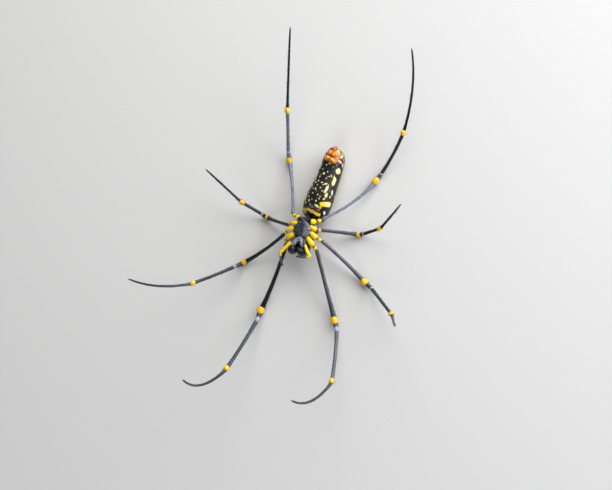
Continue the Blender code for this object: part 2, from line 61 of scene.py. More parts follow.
def add_node(tree, kind, inputs=None, **settings):
    """Adds a node with its settings. An input is a value, or the output that is linked to it."""
    node = tree.nodes.new(kind)
    for name, value in settings.items():
        setattr(node, name, value)
    for name, value in (inputs or {}).items():
        if isinstance(value, bpy.types.NodeSocket):
            tree.links.new(value, node.inputs[name])
        else:
            node.inputs[name].default_value = value
    return node


def new_material(name):
    material = bpy.data.materials.new(name)
    material.use_nodes = True
    material.node_tree.nodes.clear()
    return material, material.node_tree


def painted_plaster():
    """Matt off-white paint, just uneven enough to look like a real board."""
    material, tree = new_material("painted_plaster")
    place = add_node(tree, "ShaderNodeTexCoord")
    tooth = add_node(tree, "ShaderNodeTexNoise", {"Vector": place.outputs["Object"],
                                                  "Scale": 1 / (BOARD_TOOTH * MM), "Detail": 3.0})
    colour = add_node(tree, "ShaderNodeValToRGB", {"Fac": tooth.outputs["Fac"]})
    colour.color_ramp.elements[0].color = linear(BOARD_COLOURS[0])
    colour.color_ramp.elements[1].color = linear(BOARD_COLOURS[1])
    bump = add_node(tree, "ShaderNodeBump", {"Height": tooth.outputs["Fac"], "Strength": 0.15,
                                             "Distance": 0.05 * MM})
    paint = add_node(tree, "ShaderNodeBsdfPrincipled", {"Base Color": colour.outputs["Color"],
                                                        "Roughness": 0.85, "Normal": bump.outputs["Normal"]})
    add_node(tree, "ShaderNodeOutputMaterial", {"Surface": paint.outputs["BSDF"]})
    return material


board = bmesh.new()
bmesh.ops.create_grid(board, x_segments=2, y_segments=2, size=BOARD_SIZE * MM / 2)
board_mesh = bpy.data.meshes.new("table_top")
board.to_mesh(board_mesh)
board.free()
board_mesh.materials.append(painted_plaster())
table_top = bpy.data.objects.new("table_top", board_mesh)
bpy.context.scene.collection.objects.link(table_top)

# Camera and studio light: a long lens looks down on the belly, leaning to the spider's right.
# A very large soft lamp stands above the picture like open sky, a cool one rims the legs from the right,
# and a weak one fills from the left.
shield_low, shield_high = (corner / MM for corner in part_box("sternum"))
SHIELD_FRONT = 2.61
BODY = Vector(((shield_low.x + shield_high.x) / 2, shield_low.y + SHIELD_FRONT, 0))
LEAN, ROLL = math.radians(22), math.radians(15)
CAMERA_DISTANCE, AIM_HEIGHT = 1220, 9.3
PICTURE_WIDTH, SENSOR_WIDTH = 220.32, 36.0
AIM_RIGHT, AIM_DOWN = 1.62, 5.76
away = Vector((math.sin(LEAN), 0, math.cos(LEAN)))
level = Vector((math.cos(LEAN), 0, -math.sin(LEAN)))
right = level * math.cos(ROLL) + Vector((0, 1, 0)) * math.sin(ROLL)
up = Vector((0, 1, 0)) * math.cos(ROLL) - level * math.sin(ROLL)
aim = BODY + Vector((0, 0, AIM_HEIGHT)) + right * AIM_RIGHT - up * AIM_DOWN


def turned(side, top, back, place):
    """The matrix of an object with these axes, at a place in millimetres."""
    matrix = Matrix((side, top, back)).transposed().to_4x4()
    matrix.translation = place * MM
    return matrix


camera_data = bpy.data.cameras.new("camera")
camera_data.sensor_width = SENSOR_WIDTH
camera_data.lens = SENSOR_WIDTH * CAMERA_DISTANCE / PICTURE_WIDTH
camera = bpy.data.objects.new("camera", camera_data)
camera.matrix_world = turned(right, up, away, aim + away * CAMERA_DISTANCE)
bpy.context.scene.collection.objects.link(camera)
bpy.context.scene.camera = camera
bpy.context.scene.view_settings.view_transform = "Standard"

LAMPS = (("key_lamp", (0.35, 1.0, 0.6), 700, 800, 8.4, "#fbfcff"),
         ("rim_lamp", (1.0, 0.35, 0.72), 800, 500, 5.6, "#eef2ff"),
         ("fill_lamp", (-0.35, -0.85, 0.7), 800, 500, 1.5, "#f8f8ff"))
for name, (to_right, to_top, to_camera), distance, size, watts, colour in LAMPS:
    lamp_data = bpy.data.lights.new(name, "AREA")
    lamp_data.size = size * MM
    lamp_data.energy = watts
    lamp_data.color = linear(colour)[:3]
    lamp = bpy.data.objects.new(name, lamp_data)
    toward = (right * to_right + up * to_top + away * to_camera).normalized()
    lamp.matrix_world = turned(*toward.to_track_quat("Z", "Y").to_matrix().transposed(), aim + toward * distance)
    bpy.context.scene.collection.objects.link(lamp)

world = bpy.data.worlds.new("studio")
world.use_nodes = True
world.node_tree.nodes["Background"].inputs["Color"].default_value = linear("#e9edf2")
world.node_tree.nodes["Background"].inputs["Strength"].default_value = 0.16
bpy.context.scene.world = world

# Abdomen: a long leathery bag, black with cream and yellow blotches and rows of white dots below.
# It is one skin with its genital furrow, lung covers and fine creases, resting on its back.
ABDOMEN_RINGS, ABDOMEN_SIDES, ABDOMEN_CUTS = 250, 192, 40
ABDOMEN_SQUARENESS = 2.15
ABDOMEN_COLOURS = dict(cream="#f9f2b2", yellow="#ffe534", straw="#ffde55", gold="#f2b90f", white="#f8f6ee",
                       orange="#d2680e", rust="#b04a1c", pink="#e2b3a4", grey="#64686f", silk="#d4740c")


def merged_copy(*nodes):
    """A welded copy of solids of the frame, in millimetres."""
    solid = bmesh.new()
    for node in nodes:
        solid.from_mesh(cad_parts[node].data)
    bmesh.ops.scale(solid, vec=Vector((1, 1, 1)) / MM, verts=solid.verts)
    bmesh.ops.remove_doubles(solid, verts=solid.verts, dist=0.001)
    return solid


def points_of(solid):
    return np.array([vertex.co for vertex in solid.verts])


def long_axis(points, towards):
    """The two ends of the main axis of a cloud of points, the far end being the one that lies towards."""
    middle = points.mean(axis=0)
    axis = np.linalg.svd(points - middle, full_matrices=False)[2][0]
    axis = axis * np.sign(axis @ np.array(towards, float))
    reach = (points - middle) @ axis
    return middle + axis * reach.min(), middle + axis * reach.max()


def cut_across(solid, place, direction):
    """The points where a plane cuts a solid."""
    copy = solid.copy()
    found = bmesh.ops.bisect_plane(copy, geom=copy.verts[:] + copy.edges[:] + copy.faces[:], dist=1e-4,
                                   plane_co=Vector(place), plane_no=Vector(direction))["geom_cut"]
    points = np.array([item.co for item in found if isinstance(item, bmesh.types.BMVert)])
    copy.free()
    return points


def smoothed(values, passes):
    """Rows of numbers, each drawn towards its two neighbours, with both ends held."""
    values = np.array(values, float)
    for _ in range(passes):
        values[1:-1] = values[1:-1] / 2 + (values[:-2] + values[2:]) / 4
    return values


def draw_out(places):
    """A closed skin from rings of points: a grid is rolled up ring by ring, and its seam and poles are merged."""
    rings, sides = places.shape[:2]
    skin = bmesh.new()
    skin.loops.layers.uv.new("unwrap")
    bmesh.ops.create_grid(skin, x_segments=sides, y_segments=rings - 1, size=0.5, calc_uvs=True)
    skin.verts.ensure_lookup_table()
    for index, vertex in enumerate(skin.verts):
        row, column = divmod(index, sides + 1)
        vertex.co = places[row, column % sides]
    bmesh.ops.remove_doubles(skin, verts=skin.verts, dist=1e-5)
    bmesh.ops.recalc_face_normals(skin, faces=skin.faces)
    return skin


def add_piece(name, shape, material, nodes):
    """Makes the object of a piece at the origin, riding on the body and standing for its solids."""
    bmesh.ops.scale(shape, vec=(MM, MM, MM), verts=shape.verts)
    mesh = bpy.data.meshes.new(name)
    shape.to_mesh(mesh)
    shape.free()
    mesh.shade_smooth()
    mesh.materials.append(material)
    piece = bpy.data.objects.new(name, mesh)
    bpy.context.scene.collection.objects.link(piece)
    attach(piece, "root")
    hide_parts(*nodes)
    return piece


def set_values(piece, name, values):
    """Keeps a number, or a colour, for each vertex of a piece."""
    kind, field = ("FLOAT", "value") if np.ndim(values) == 1 else ("FLOAT_COLOR", "color")
    layer = piece.data.attributes.new(name, kind, "POINT")
    layer.data.foreach_set(field, np.ascontiguousarray(values, dtype=np.float32).ravel())


def positions(piece):
    """The vertices of a finished piece, in millimetres."""
    flat = np.zeros(len(piece.data.vertices) * 3, np.float32)
    piece.data.vertices.foreach_get("co", flat)
    return flat.reshape(-1, 3).astype(float) / MM


def wander(points, size, seed):
    """Smooth noise of about -1 to 1 at each point, with lumps of that size."""
    shift = Vector((seed * 7.3, seed * 3.1, seed * 5.7))
    return np.array([noise.noise(Vector(point) / size + shift) for point in points])


abdomen_solid = merged_copy("abdomen")
ABDOMEN_TURN = math.radians(7)
abdomen_axis = np.array((math.sin(ABDOMEN_TURN), math.cos(ABDOMEN_TURN), 0.0))
abdomen_across = np.array((abdomen_axis[1], -abdomen_axis[0], 0.0))
abdomen_reach = points_of(abdomen_solid) @ abdomen_axis
waist, abdomen_length = abdomen_reach.min(), np.ptp(abdomen_reach)
waist_across = 0.0


def abdomen_sections():
    """Sideways middle, half width, lowest and highest point of rings along the abdomen, from the solid."""
    turns = np.linspace(0, math.pi, ABDOMEN_CUTS + 2)[1:-1]
    alongs = abdomen_length * (1 - np.cos(turns)) / 2
    rows = []
    for along in alongs:
        cut = cut_across(abdomen_solid, abdomen_axis * (waist + along), abdomen_axis)
        across = cut @ abdomen_across
        rows.append(((across.min() + across.max()) / 2, np.ptp(across) / 2, cut[:, 2].min(), cut[:, 2].max()))
    rows = np.array(rows)
    first = (rows[0, 0], 0.0, rows[0, 2:].mean(), rows[0, 2:].mean())
    last = (rows[-1, 0], 0.0, rows[-1, 2:].mean(), rows[-1, 2:].mean())
    return np.concatenate(([0], turns, [math.pi])), np.vstack((first, rows, last))


def abdomen_places():
    turns, rows = abdomen_sections()
    fine = np.linspace(0, math.pi, ABDOMEN_RINGS)
    rows = np.column_stack([np.interp(fine, turns, column) for column in rows.T])
    rows = smoothed(rows, 14)
    around = np.linspace(0, math.tau, ABDOMEN_SIDES, endpoint=False)
    side = np.sign(np.sin(around)) * np.abs(np.sin(around)) ** (2 / ABDOMEN_SQUARENESS)
    height = np.sign(np.cos(around)) * np.abs(np.cos(around)) ** (2 / ABDOMEN_SQUARENESS)
    places = np.zeros((ABDOMEN_RINGS, ABDOMEN_SIDES, 3))
    for ring, (turn, (middle, half, low, high)) in enumerate(zip(fine, rows)):
        centre = abdomen_axis * (waist + abdomen_length * (1 - math.cos(turn)) / 2) + abdomen_across * middle
        places[ring] = centre + np.outer(side * half, abdomen_across)
        places[ring, :, 2] = (low + high) / 2 + height * (high - low) / 2
    return places, fine, rows


abdomen_grid, abdomen_turns, abdomen_rows = abdomen_places()


def abdomen_coordinates(points):
    """How far points lie along the abdomen from the waist, and round it from the belly line, in degrees."""
    along = points @ abdomen_axis - waist
    turns = np.arccos(np.clip(1 - 2 * along / abdomen_length, -1, 1))
    middle = np.interp(turns, abdomen_turns, abdomen_rows[:, 0])
    height = np.interp(turns, abdomen_turns, abdomen_rows[:, 2:].mean(axis=1))
    across = points @ abdomen_across - middle
    return along, np.degrees(np.arctan2(across, points[:, 2] - height))


# Each mark is (along, around, half length, half width, lean, colour): millimetres from the waist, degrees
# round from the belly line towards the spider's right, millimetres, and degrees from the long axis.
BLOTCHES = (
    (19.9, 63, 1.05, 1.15, 0, "cream"), (16.0, 57, 1.75, 0.8, -6, "cream"), (17.6, 34, 0.6, 0.25, -30, "yellow"),
    (11.9, 67, 1.0, 0.45, -20, "white"), (10.2, 63, 0.5, 0.4, 0, "yellow"), (13.9, 18, 1.0, 0.25, 40, "cream"),
    (12.5, 33, 1.5, 0.55, 10, "cream"), (10.3, 43, 0.75, 0.5, 0, "cream"), (8.9, 39, 0.4, 0.5, 0, "yellow"),
    (7.0, 45, 0.8, 1.5, 0, "yellow"), (7.5, 68, 0.95, 1.7, 0, "cream"), (5.6, 19, 0.5, 0.95, 20, "cream"),
    (4.1, 66, 0.75, 0.5, -30, "white"), (5.7, 38, 0.55, 0.5, 0, "gold"), (4.3, 33, 0.4, 0.75, 0, "rust"),
    (4.7, -6, 0.6, 1.3, 0, "grey"), (2.3, -47, 0.95, 1.2, 0, "yellow"), (6.3, -58, 0.7, 0.75, 0, "yellow"),
    (5.2, -42, 0.45, 0.45, 0, "white"), (7.6, -62, 0.9, 0.6, 0, "yellow"), (8.9, -50, 0.6, 0.35, 0, "yellow"),
    (10.1, -58, 0.8, 0.6, 0, "yellow"), (11.7, -47, 0.8, 0.35, 0, "cream"), (13.2, -60, 0.8, 0.5, 0, "yellow"),
    (14.3, -46, 0.9, 0.35, 0, "cream"), (16.4, -52, 0.9, 0.45, 0, "gold"), (19.2, -56, 0.9, 0.45, 0, "cream"),
    (23.4, 58, 0.5, 1.0, 25, "pink"), (22.6, 88, 0.7, 0.5, 0, "cream"), (25.2, 66, 0.45, 0.35, 0, "cream"),
    (24.3, 84, 0.75, 0.35, 0, "orange"), (24.3, 4, 2.7, 2.5, 0, "silk"), (26.3, 28, 0.7, 1.2, 0, "pink"),
)
DOTS = ((18.7, -21), (18.6, 10), (15.9, -23), (16.2, 13), (14.3, -19), (14.2, 1), (12.7, -15), (11.2, -29),
        (11.1, -15), (12.3, 6), (11.4, 18), (9.5, -21), (9.5, 6), (7.9, -33), (7.2, -11), (8.4, 18), (7.2, 8),
        (5.5, -12), (20.6, -12), (21.4, 6), (17.4, -8), (17.1, 24), (13.3, -30), (6.4, -24))
DOT_RADIUS = (0.24, 0.36)
BAND = (3.0, -32, 52)
SPECKLES, SPECKLE_RADIUS = 150, (0.07, 0.2)


def blotches_of_back():
    """Two yellow stripes down the hidden back and blotches on the far flank, as in the species."""
    marks = [(along, -around, length, width, -lean, colour)
             for along, around, length, width, lean, colour in BLOTCHES if around > 52 and along > 3]
    for flank in (-1, 1):
        marks.append((12.0, 180 - flank * 30, 10.0, 0.42, 0, "yellow"))
        for along, around, length in ((5.0, 122, 1.1), (9.6, 116, 1.2), (14.2, 118, 1.1), (18.4, 120, 1.0)):
            marks.append((along, flank * around, length, 0.5, 12 * flank, "cream"))
    marks.append((1.6, 180, 0.5, 3.0, 0, "yellow"))
    return marks


def mark_edges(points):
    """For each point, how far it lies inside the nearest mark in millimetres, and that mark's colour."""
    along, around = abdomen_coordinates(points)
    turns = np.arccos(np.clip(1 - 2 * along / abdomen_length, -1, 1))
    girth = np.interp(turns, abdomen_turns, (abdomen_rows[:, 1] + np.ptp(abdomen_rows[:, 2:], axis=1) / 2) / 2)
    along = along + 0.3 * wander(points, 0.9, 1) + 0.1 * wander(points, 0.35, 13)
    sideways_shift = 0.3 * wander(points, 0.9, 2) + 0.1 * wander(points, 0.35, 14)
    edge = np.full(len(points), -9.0)
    tint = np.tile(linear(ABDOMEN_COLOURS["cream"]), (len(points), 1))
    draw = np.random.default_rng(11)
    dots = [(a, r, *[draw.uniform(*DOT_RADIUS)] * 2, 0, "white") for a, r in DOTS]
    specks = [(draw.uniform(24.6, 27.5), draw.uniform(15, 175), *[draw.uniform(*SPECKLE_RADIUS)] * 2, 0,
               draw.choice(("cream", "cream", "gold"))) for _ in range(SPECKLES)]
    specks += [(draw.uniform(1.0, 24.0), draw.uniform(-180, 180), *[draw.uniform(*SPECKLE_RADIUS)] * 2, 0,
                draw.choice(("cream", "gold", "yellow"))) for _ in range(SPECKLES)]
    for place, round_place, length, width, lean, colour in [*BLOTCHES, *specks, *dots, *blotches_of_back()]:
        turn = (around - round_place + 180) % 360 - 180
        sideways = np.radians(turn) * girth + sideways_shift
        forward = along - place
        cos, sin = math.cos(math.radians(lean)), math.sin(math.radians(lean))
        reach = np.hypot((forward * cos + sideways * sin) / length, (sideways * cos - forward * sin) / width)
        inside = (1 - reach) * min(length, width)
        nearer = inside > edge
        edge[nearer] = inside[nearer]
        tint[nearer] = linear(ABDOMEN_COLOURS[colour])
    band_edge = 0.56 - np.abs(along - BAND[0] + 0.006 * (around - 10))
    band_edge = np.minimum(band_edge, np.minimum(around - BAND[1], BAND[2] - around) / 12)
    nearer = band_edge > edge
    edge[nearer] = band_edge[nearer]
    share = np.clip((around + 22) / 14, 0, 1)[:, None]
    band_tint = share * np.array(linear(ABDOMEN_COLOURS["straw"])) + (1 - share) * np.array(
        linear(ABDOMEN_COLOURS["pink"]))
    tint[nearer] = band_tint[nearer]
    return edge, tint


def hollow(distance, width, depth):
    """A smooth groove of that width and depth at distance 0."""
    return -depth * np.exp(-(distance / (width / 2)) ** 2)


def abdomen_relief(points):
    """How far the skin stands out of its plain form: furrow, plate, lung covers, muscle pits and creases."""
    along, around = abdomen_coordinates(points)
    belly = np.clip((62 - np.abs(around)) / 14, 0, 1)
    relief = belly * hollow(along - 3.75 - (around / 90) ** 2, 0.5, 0.16)
    sideways = np.radians(around) * 4.2
    relief += 0.2 * np.exp(-((along - 4.3) / 0.55) ** 2 - (sideways / 0.9) ** 2)
    mound = np.exp(-(((along - 24.0) / 2.6) ** 2 + ((sideways - 0.2) / 2.3) ** 2) ** 2)
    relief += mound * (0.42 + 0.09 * np.cos(11 * np.arctan2(sideways - 0.2, along - 24.0)))
    for cover in (-1, 1):
        relief += 0.16 * np.exp(-(((along - 2.4) / 0.8) ** 2 + ((sideways - cover * 2.2) / 0.9) ** 2) ** 2)
    for pair, place in enumerate((4.5, 8.0, 12.0, 16.0, 20.0)):
        for flank in (-1, 1):
            turn = (around - 180 + flank * (12 + pair) + 180) % 360 - 180
            relief += hollow(np.hypot(along - place, np.radians(turn) * 4.6), 0.7, 0.13)
    creases = wander(points * np.array((1, 0.35, 1)), 0.55, 3) + 0.5 * wander(points, 0.3, 4)
    fade = np.clip(points[:, 2] / 0.6, 0, 1) * np.clip(along / 1.5, 0, 1)
    return (relief + 0.035 * creases) * fade


def leathery_cuticle():
    """Soft abdominal skin: satin black with an olive cast, over which the pale pigment sits as clean blotches."""
    material, tree = new_material("leathery_cuticle")
    place = add_node(tree, "ShaderNodeTexCoord").outputs["Object"]
    mottle = add_node(tree, "ShaderNodeTexNoise", {"Vector": place, "Scale": 1 / (0.75 * MM), "Detail": 4.0})
    ground = add_node(tree, "ShaderNodeValToRGB", {"Fac": mottle.outputs["Fac"]})
    ground.color_ramp.elements[0].position = 0.42
    ground.color_ramp.elements[0].color = linear("#0a0a0a")
    ground.color_ramp.elements[1].position = 0.72
    ground.color_ramp.elements[1].color = linear("#2a270e")
    edge = add_node(tree, "ShaderNodeAttribute", attribute_name="edge")
    tint = add_node(tree, "ShaderNodeAttribute", attribute_name="tint")
    grain = add_node(tree, "ShaderNodeTexNoise", {"Vector": place, "Scale": 1 / (0.22 * MM), "Detail": 2.0})
    rough_edge = add_node(tree, "ShaderNodeMath", {0: grain.outputs["Fac"], 1: 0.12, 2: edge.outputs["Fac"]},
                          operation="MULTIPLY_ADD")
    cover = add_node(tree, "ShaderNodeMapRange", {"Value": rough_edge.outputs["Value"], "From Min": 0.02,
                                                  "From Max": 0.12}, interpolation_type="SMOOTHSTEP")
    blotch = add_node(tree, "ShaderNodeMix", {"Factor": grain.outputs["Fac"], 6: tint.outputs["Color"],
                                              7: linear("#f4ecc8")}, data_type="RGBA", blend_type="MULTIPLY")
    colour = add_node(tree, "ShaderNodeMix", {"Factor": cover.outputs["Result"], 6: ground.outputs["Color"],
                                              7: blotch.outputs[2]}, data_type="RGBA")
    pebble = add_node(tree, "ShaderNodeTexVoronoi", {"Vector": place, "Scale": 1 / (0.16 * MM)})
    bump = add_node(tree, "ShaderNodeBump", {"Height": pebble.outputs["Distance"], "Strength": 0.35,
                                             "Distance": 0.04 * MM})
    rough = add_node(tree, "ShaderNodeMapRange", {"Value": grain.outputs["Fac"], "To Min": 0.3, "To Max": 0.5})
    skin = add_node(tree, "ShaderNodeBsdfPrincipled", {
        "Base Color": colour.outputs[2], "Roughness": rough.outputs["Result"], "IOR": 1.5,
        "Normal": bump.outputs["Normal"], "Coat Weight": 0.12, "Coat Roughness": 0.25})
    add_node(tree, "ShaderNodeOutputMaterial", {"Surface": skin.outputs["BSDF"]})
    return material


def press(shape, relief):
    """Moves the vertices of a skin along their normals by the relief at each."""
    shape.normal_update()
    heights = relief(points_of(shape))
    for vertex, height in zip(shape.verts, heights):
        vertex.co += vertex.normal * height


abdomen_skin = draw_out(abdomen_grid)
press(abdomen_skin, abdomen_relief)
abdomen = add_piece("abdomen_skin", abdomen_skin, leathery_cuticle(), ["abdomen"])
abdomen_edge, abdomen_tint = mark_edges(positions(abdomen))
set_values(abdomen, "edge", abdomen_edge)
set_values(abdomen, "tint", abdomen_tint)

# Spinnerets: two pairs of silk organs and the small hind tubercle, orange-red cones of soft cuticle.
# Each has a ring of thicker skin round its foot, a joint half way and a blunt tip.
SPINNERETS = ("spinneret_front_right", "spinneret_front_left", "spinneret_rear_right", "spinneret_rear_left",
              "anal_tubercle")
SPINNERET_RINGS, SPINNERET_SIDES, SPINNERET_SUNK, SPINNERET_TIP = 60, 48, 1.5, 0.2


def tube_sections(node, towards, count):
    """Centre and radius of cuts across a long solid, from its near end to its far end."""
    solid = merged_copy(node)
    near, far = long_axis(points_of(solid), towards)
    direction = (far - near) / np.linalg.norm(far - near)
    rows = []
    for share in (np.arange(count) + 0.5) / count:
        cut = cut_across(solid, near + (far - near) * share, direction)
        middle = cut.mean(axis=0)
        sideways = np.cross(direction, (0.3, 0.2, 1.0))
        sideways = sideways / np.linalg.norm(sideways)
        upwards = np.cross(direction, sideways)
        flat = np.column_stack(((cut - middle) @ sideways, (cut - middle) @ upwards))
        flat = flat[np.argsort(np.arctan2(flat[:, 1], flat[:, 0]))]
        after = np.roll(flat, -1, axis=0)
        cross = flat[:, 0] * after[:, 1] - after[:, 0] * flat[:, 1]
        centre = ((flat + after) * cross[:, None]).sum(axis=0) / (3 * cross.sum())
        rows.append((*(middle + sideways * centre[0] + upwards * centre[1]), math.sqrt(cross.sum() / 2 / math.pi)))
    solid.free()
    return np.array(rows)


def along_path(points):
    """The distance of each point of a path from its first."""
    return np.concatenate(([0], np.cumsum(np.linalg.norm(np.diff(points, axis=0), axis=1))))


def tube_places(path, radii, sides, start=(0, 0, 1)):
    """Rings of points round a path, side 0 lying towards start and turning as little as the path allows."""
    tangents = np.gradient(path, axis=0)
    tangents /= np.linalg.norm(tangents, axis=1)[:, None]
    turns = np.linspace(0, math.tau, sides, endpoint=False)
    lean = np.array(start, float)
    places = np.zeros((len(path), sides, 3))
    for ring, (centre, tangent, radius) in enumerate(zip(path, tangents, radii)):
        lean = lean - tangent * (lean @ tangent)
        lean /= np.linalg.norm(lean)
        across = np.cross(lean, tangent)
        places[ring] = centre + radius * (np.outer(np.cos(turns), lean) + np.outer(np.sin(turns), across))
    return places, tangents


def rounded_ends(radii, distance, end_radius):
    """Radii that close to a point over the first and last stretch of a tube, as a dome does."""
    reach = np.minimum(distance, distance[-1] - distance) / end_radius
    return radii * np.sqrt(np.clip(1 - np.clip(1 - reach, 0, 1) ** 2, 0, 1))


def silk_cuticle():
    """Soft orange-red skin in random patches of brown and pale cream, the cream a painted highlight, with a damp
    satin shine.
    """
    material, tree = new_material("silk_cuticle")
    place = add_node(tree, "ShaderNodeTexCoord").outputs["Object"]
    patches = add_node(tree, "ShaderNodeTexNoise", {"Vector": place, "Scale": 1 / (1.1 * MM), "Detail": 3.0})
    colour = add_node(tree, "ShaderNodeValToRGB", {"Fac": patches.outputs["Fac"]})
    colour.color_ramp.elements[0].position = 0.3
    colour.color_ramp.elements[0].color = linear("#a84a06")
    colour.color_ramp.elements[1].position = 0.55
    colour.color_ramp.elements[1].color = linear("#f0980f")
    # Pale cream patches: a painted highlight.
    light = colour.color_ramp.elements.new(0.76)
    light.color = linear("#ffd596")
    grain = add_node(tree, "ShaderNodeTexNoise", {"Vector": place, "Scale": 1 / (0.15 * MM), "Detail": 2.0})
    bump = add_node(tree, "ShaderNodeBump", {"Height": grain.outputs["Fac"], "Strength": 0.4,
                                             "Distance": 0.03 * MM})
    skin = add_node(tree, "ShaderNodeBsdfPrincipled", {
        "Base Color": colour.outputs["Color"], "Roughness": 0.38, "Normal": bump.outputs["Normal"],
        "Coat Weight": 0.6, "Coat Roughness": 0.22, "Subsurface Weight": 0.12, "Subsurface Radius": (0.6 * MM, 0.4 * MM, 0.2 * MM),
        "Subsurface Scale": 1.0})
    add_node(tree, "ShaderNodeOutputMaterial", {"Surface": skin.outputs["BSDF"]})
    return material


silk_material = silk_cuticle()
spinnerets = []
for node in SPINNERETS:
    rows = tube_sections(node, (0, 0, 1), 9)
    rows = rows[np.argmax(rows[:, 3]):]
    direction = rows[-1, :3] - rows[0, :3]
    direction /= np.linalg.norm(direction)
    tip = rows[-1, :3] + direction * SPINNERET_TIP
    root = rows[0, :3] - direction * SPINNERET_SUNK
    path = np.vstack((root, rows[:, :3], tip))
    radii = np.concatenate(([rows[0, 3]], rows[:, 3], [rows[-1, 3]]))
    distance = along_path(path)
    fine = np.linspace(0, distance[-1], SPINNERET_RINGS)
    path = np.column_stack([np.interp(fine, distance, column) for column in path.T])
    radii = np.interp(fine, distance, radii)
    share = np.clip((fine - SPINNERET_SUNK) / (distance[-1] - SPINNERET_SUNK), 0, 1)
    radii = radii + hollow(share - 0.45, 0.1, 0.08) + hollow(share - 0.8, 0.08, 0.05) - hollow(share - 0.1, 0.2, 0.06)
    radii = rounded_ends(radii, fine, 0.25)
    spinnerets.append(add_piece(node + "_skin", draw_out(tube_places(path, radii, SPINNERET_SIDES, (0, 1, 0.2))[0]),
                                silk_material, [node]))

# Carapace: the hard shield over the head and back, face down here, with the soft flank skin below its rim.
# It is black with a silver-grey down, a groove behind the head, a central pit and two small horns.
CARAPACE_RINGS, CARAPACE_SIDES = 150, 160
HORN_HEIGHT, HORN_WIDTH = 0.9, 0.8
HORNS = ((0.9, -0.6), (-0.9, -0.6))
EYE_RIM = 0.1
EYES = [f"eye_{place}_{side}" for side in ("right", "left")
        for place in ("front_middle", "rear_middle", "front_side", "rear_side")]


def wrapped(node, rings, sides, axis="Z", rounds=3):
    """A fine ball drawn over a solid of the frame from inside, then eased so that no facet shows."""
    solid = merged_copy(node)
    tree = BVHTree.FromBMesh(solid)
    low, high = points_of(solid).min(axis=0), points_of(solid).max(axis=0)
    centre = Vector((low + high) / 2)
    solid.free()
    ball = bmesh.new()
    ball.loops.layers.uv.new("unwrap")
    bmesh.ops.create_uvsphere(ball, u_segments=sides, v_segments=rings, radius=1, calc_uvs=True)
    if axis == "Y":
        bmesh.ops.rotate(ball, cent=(0, 0, 0), matrix=Matrix.Rotation(math.pi / 2, 3, "X"), verts=ball.verts)
    size = Vector((high - low) / 2)
    for vertex in ball.verts:
        toward = Vector(a * b for a, b in zip(vertex.co, size)).normalized()
        hit = tree.ray_cast(centre, toward)[0]
        vertex.co = hit if hit else tree.find_nearest(centre + toward * size.length)[0]
    for _ in range(rounds):
        bmesh.ops.smooth_vert(ball, verts=ball.verts, factor=0.5, use_axis_x=True, use_axis_y=True,
                              use_axis_z=True)
    return ball


def carapace_relief(points):
    """Grooves of the back, the pit in its middle, the horns, and the fold under the rim."""
    x, y = points[:, 0] - BODY.x, points[:, 1] - BODY.y
    back = np.clip((5.6 - points[:, 2]) / 1.5, 0, 1)
    groove_line = y + 3.6 - 0.9 * np.abs(x) ** 1.1 * 0.6
    relief = back * np.clip((4.3 - np.abs(x)) / 1.0, 0, 1) * hollow(groove_line, 0.9, 0.22)
    relief += back * hollow(np.hypot(x, (y - 0.4) / 1.8), 0.8, 0.4)
    bearing = np.arctan2(x, y - 0.4)
    spread = np.hypot(x, y - 0.4)
    rays = np.maximum(0, np.cos(bearing * 7)) ** 6 * np.clip((spread - 1) / 1, 0, 1) * np.clip(y + 3.6, 0, 1)
    relief -= back * 0.12 * rays
    for horn_x, horn_y in HORNS:
        away_from_horn = np.hypot(x - horn_x, y - horn_y)
        relief += (points[:, 2] < 4) * HORN_HEIGHT * np.clip(1 - away_from_horn / (HORN_WIDTH / 2), 0, 1) ** 1.4
    relief += hollow(points[:, 2] - 5.9, 0.45, 0.12)
    for node in EYES:
        low, high = (np.array(corner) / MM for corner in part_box(node))
        from_eye = np.linalg.norm(points - (low + high) / 2, axis=1)
        relief += EYE_RIM * np.exp(-((from_eye - (high - low)[0] / 2 - EYE_RIM) / 0.09) ** 2)
    return relief + 0.02 * wander(points, 0.35, 6)


def downy_shell():
    """Hard black cuticle, satin, with random grey patches painted on as the sheen of the short down."""
    material, tree = new_material("downy_shell")
    place = add_node(tree, "ShaderNodeTexCoord").outputs["Object"]
    patches = add_node(tree, "ShaderNodeTexNoise", {"Vector": place, "Scale": 1 / (1.6 * MM), "Detail": 4.0})
    colour = add_node(tree, "ShaderNodeValToRGB", {"Fac": patches.outputs["Fac"]})
    colour.color_ramp.elements[0].position = 0.38
    colour.color_ramp.elements[0].color = linear("#0d0d10")
    colour.color_ramp.elements[1].position = 0.7
    # Grey end of the ramp: a painted sheen.
    colour.color_ramp.elements[1].color = linear("#3a3c45")
    grain = add_node(tree, "ShaderNodeTexNoise", {"Vector": place, "Scale": 1 / (0.12 * MM), "Detail": 3.0})
    bump = add_node(tree, "ShaderNodeBump", {"Height": grain.outputs["Fac"], "Strength": 0.5,
                                             "Distance": 0.03 * MM})
    shell = add_node(tree, "ShaderNodeBsdfPrincipled", {
        "Base Color": colour.outputs["Color"], "Roughness": 0.3, "IOR": 1.6, "Normal": bump.outputs["Normal"],
        "Specular Tint": linear("#e0e6fa"), "Coat Weight": 0.8, "Coat Roughness": 0.25, "Coat IOR": 1.6,
        "Sheen Weight": 0.3, "Sheen Roughness": 0.4,
        "Sheen Tint": linear("#b9bccb")})
    add_node(tree, "ShaderNodeOutputMaterial", {"Surface": shell.outputs["BSDF"]})
    return material


shell_material = downy_shell()
carapace_skin = wrapped("carapace", CARAPACE_RINGS, CARAPACE_SIDES, rounds=5)
press(carapace_skin, carapace_relief)
carapace = add_piece("carapace_shell", carapace_skin, shell_material, ["carapace"])

# Eyes: eight simple lenses in two rows across the front of the head, glossy black-brown domes.
# Each sits in a low dark rim of the shell.
EYE_RINGS, EYE_SIDES = 24, 40


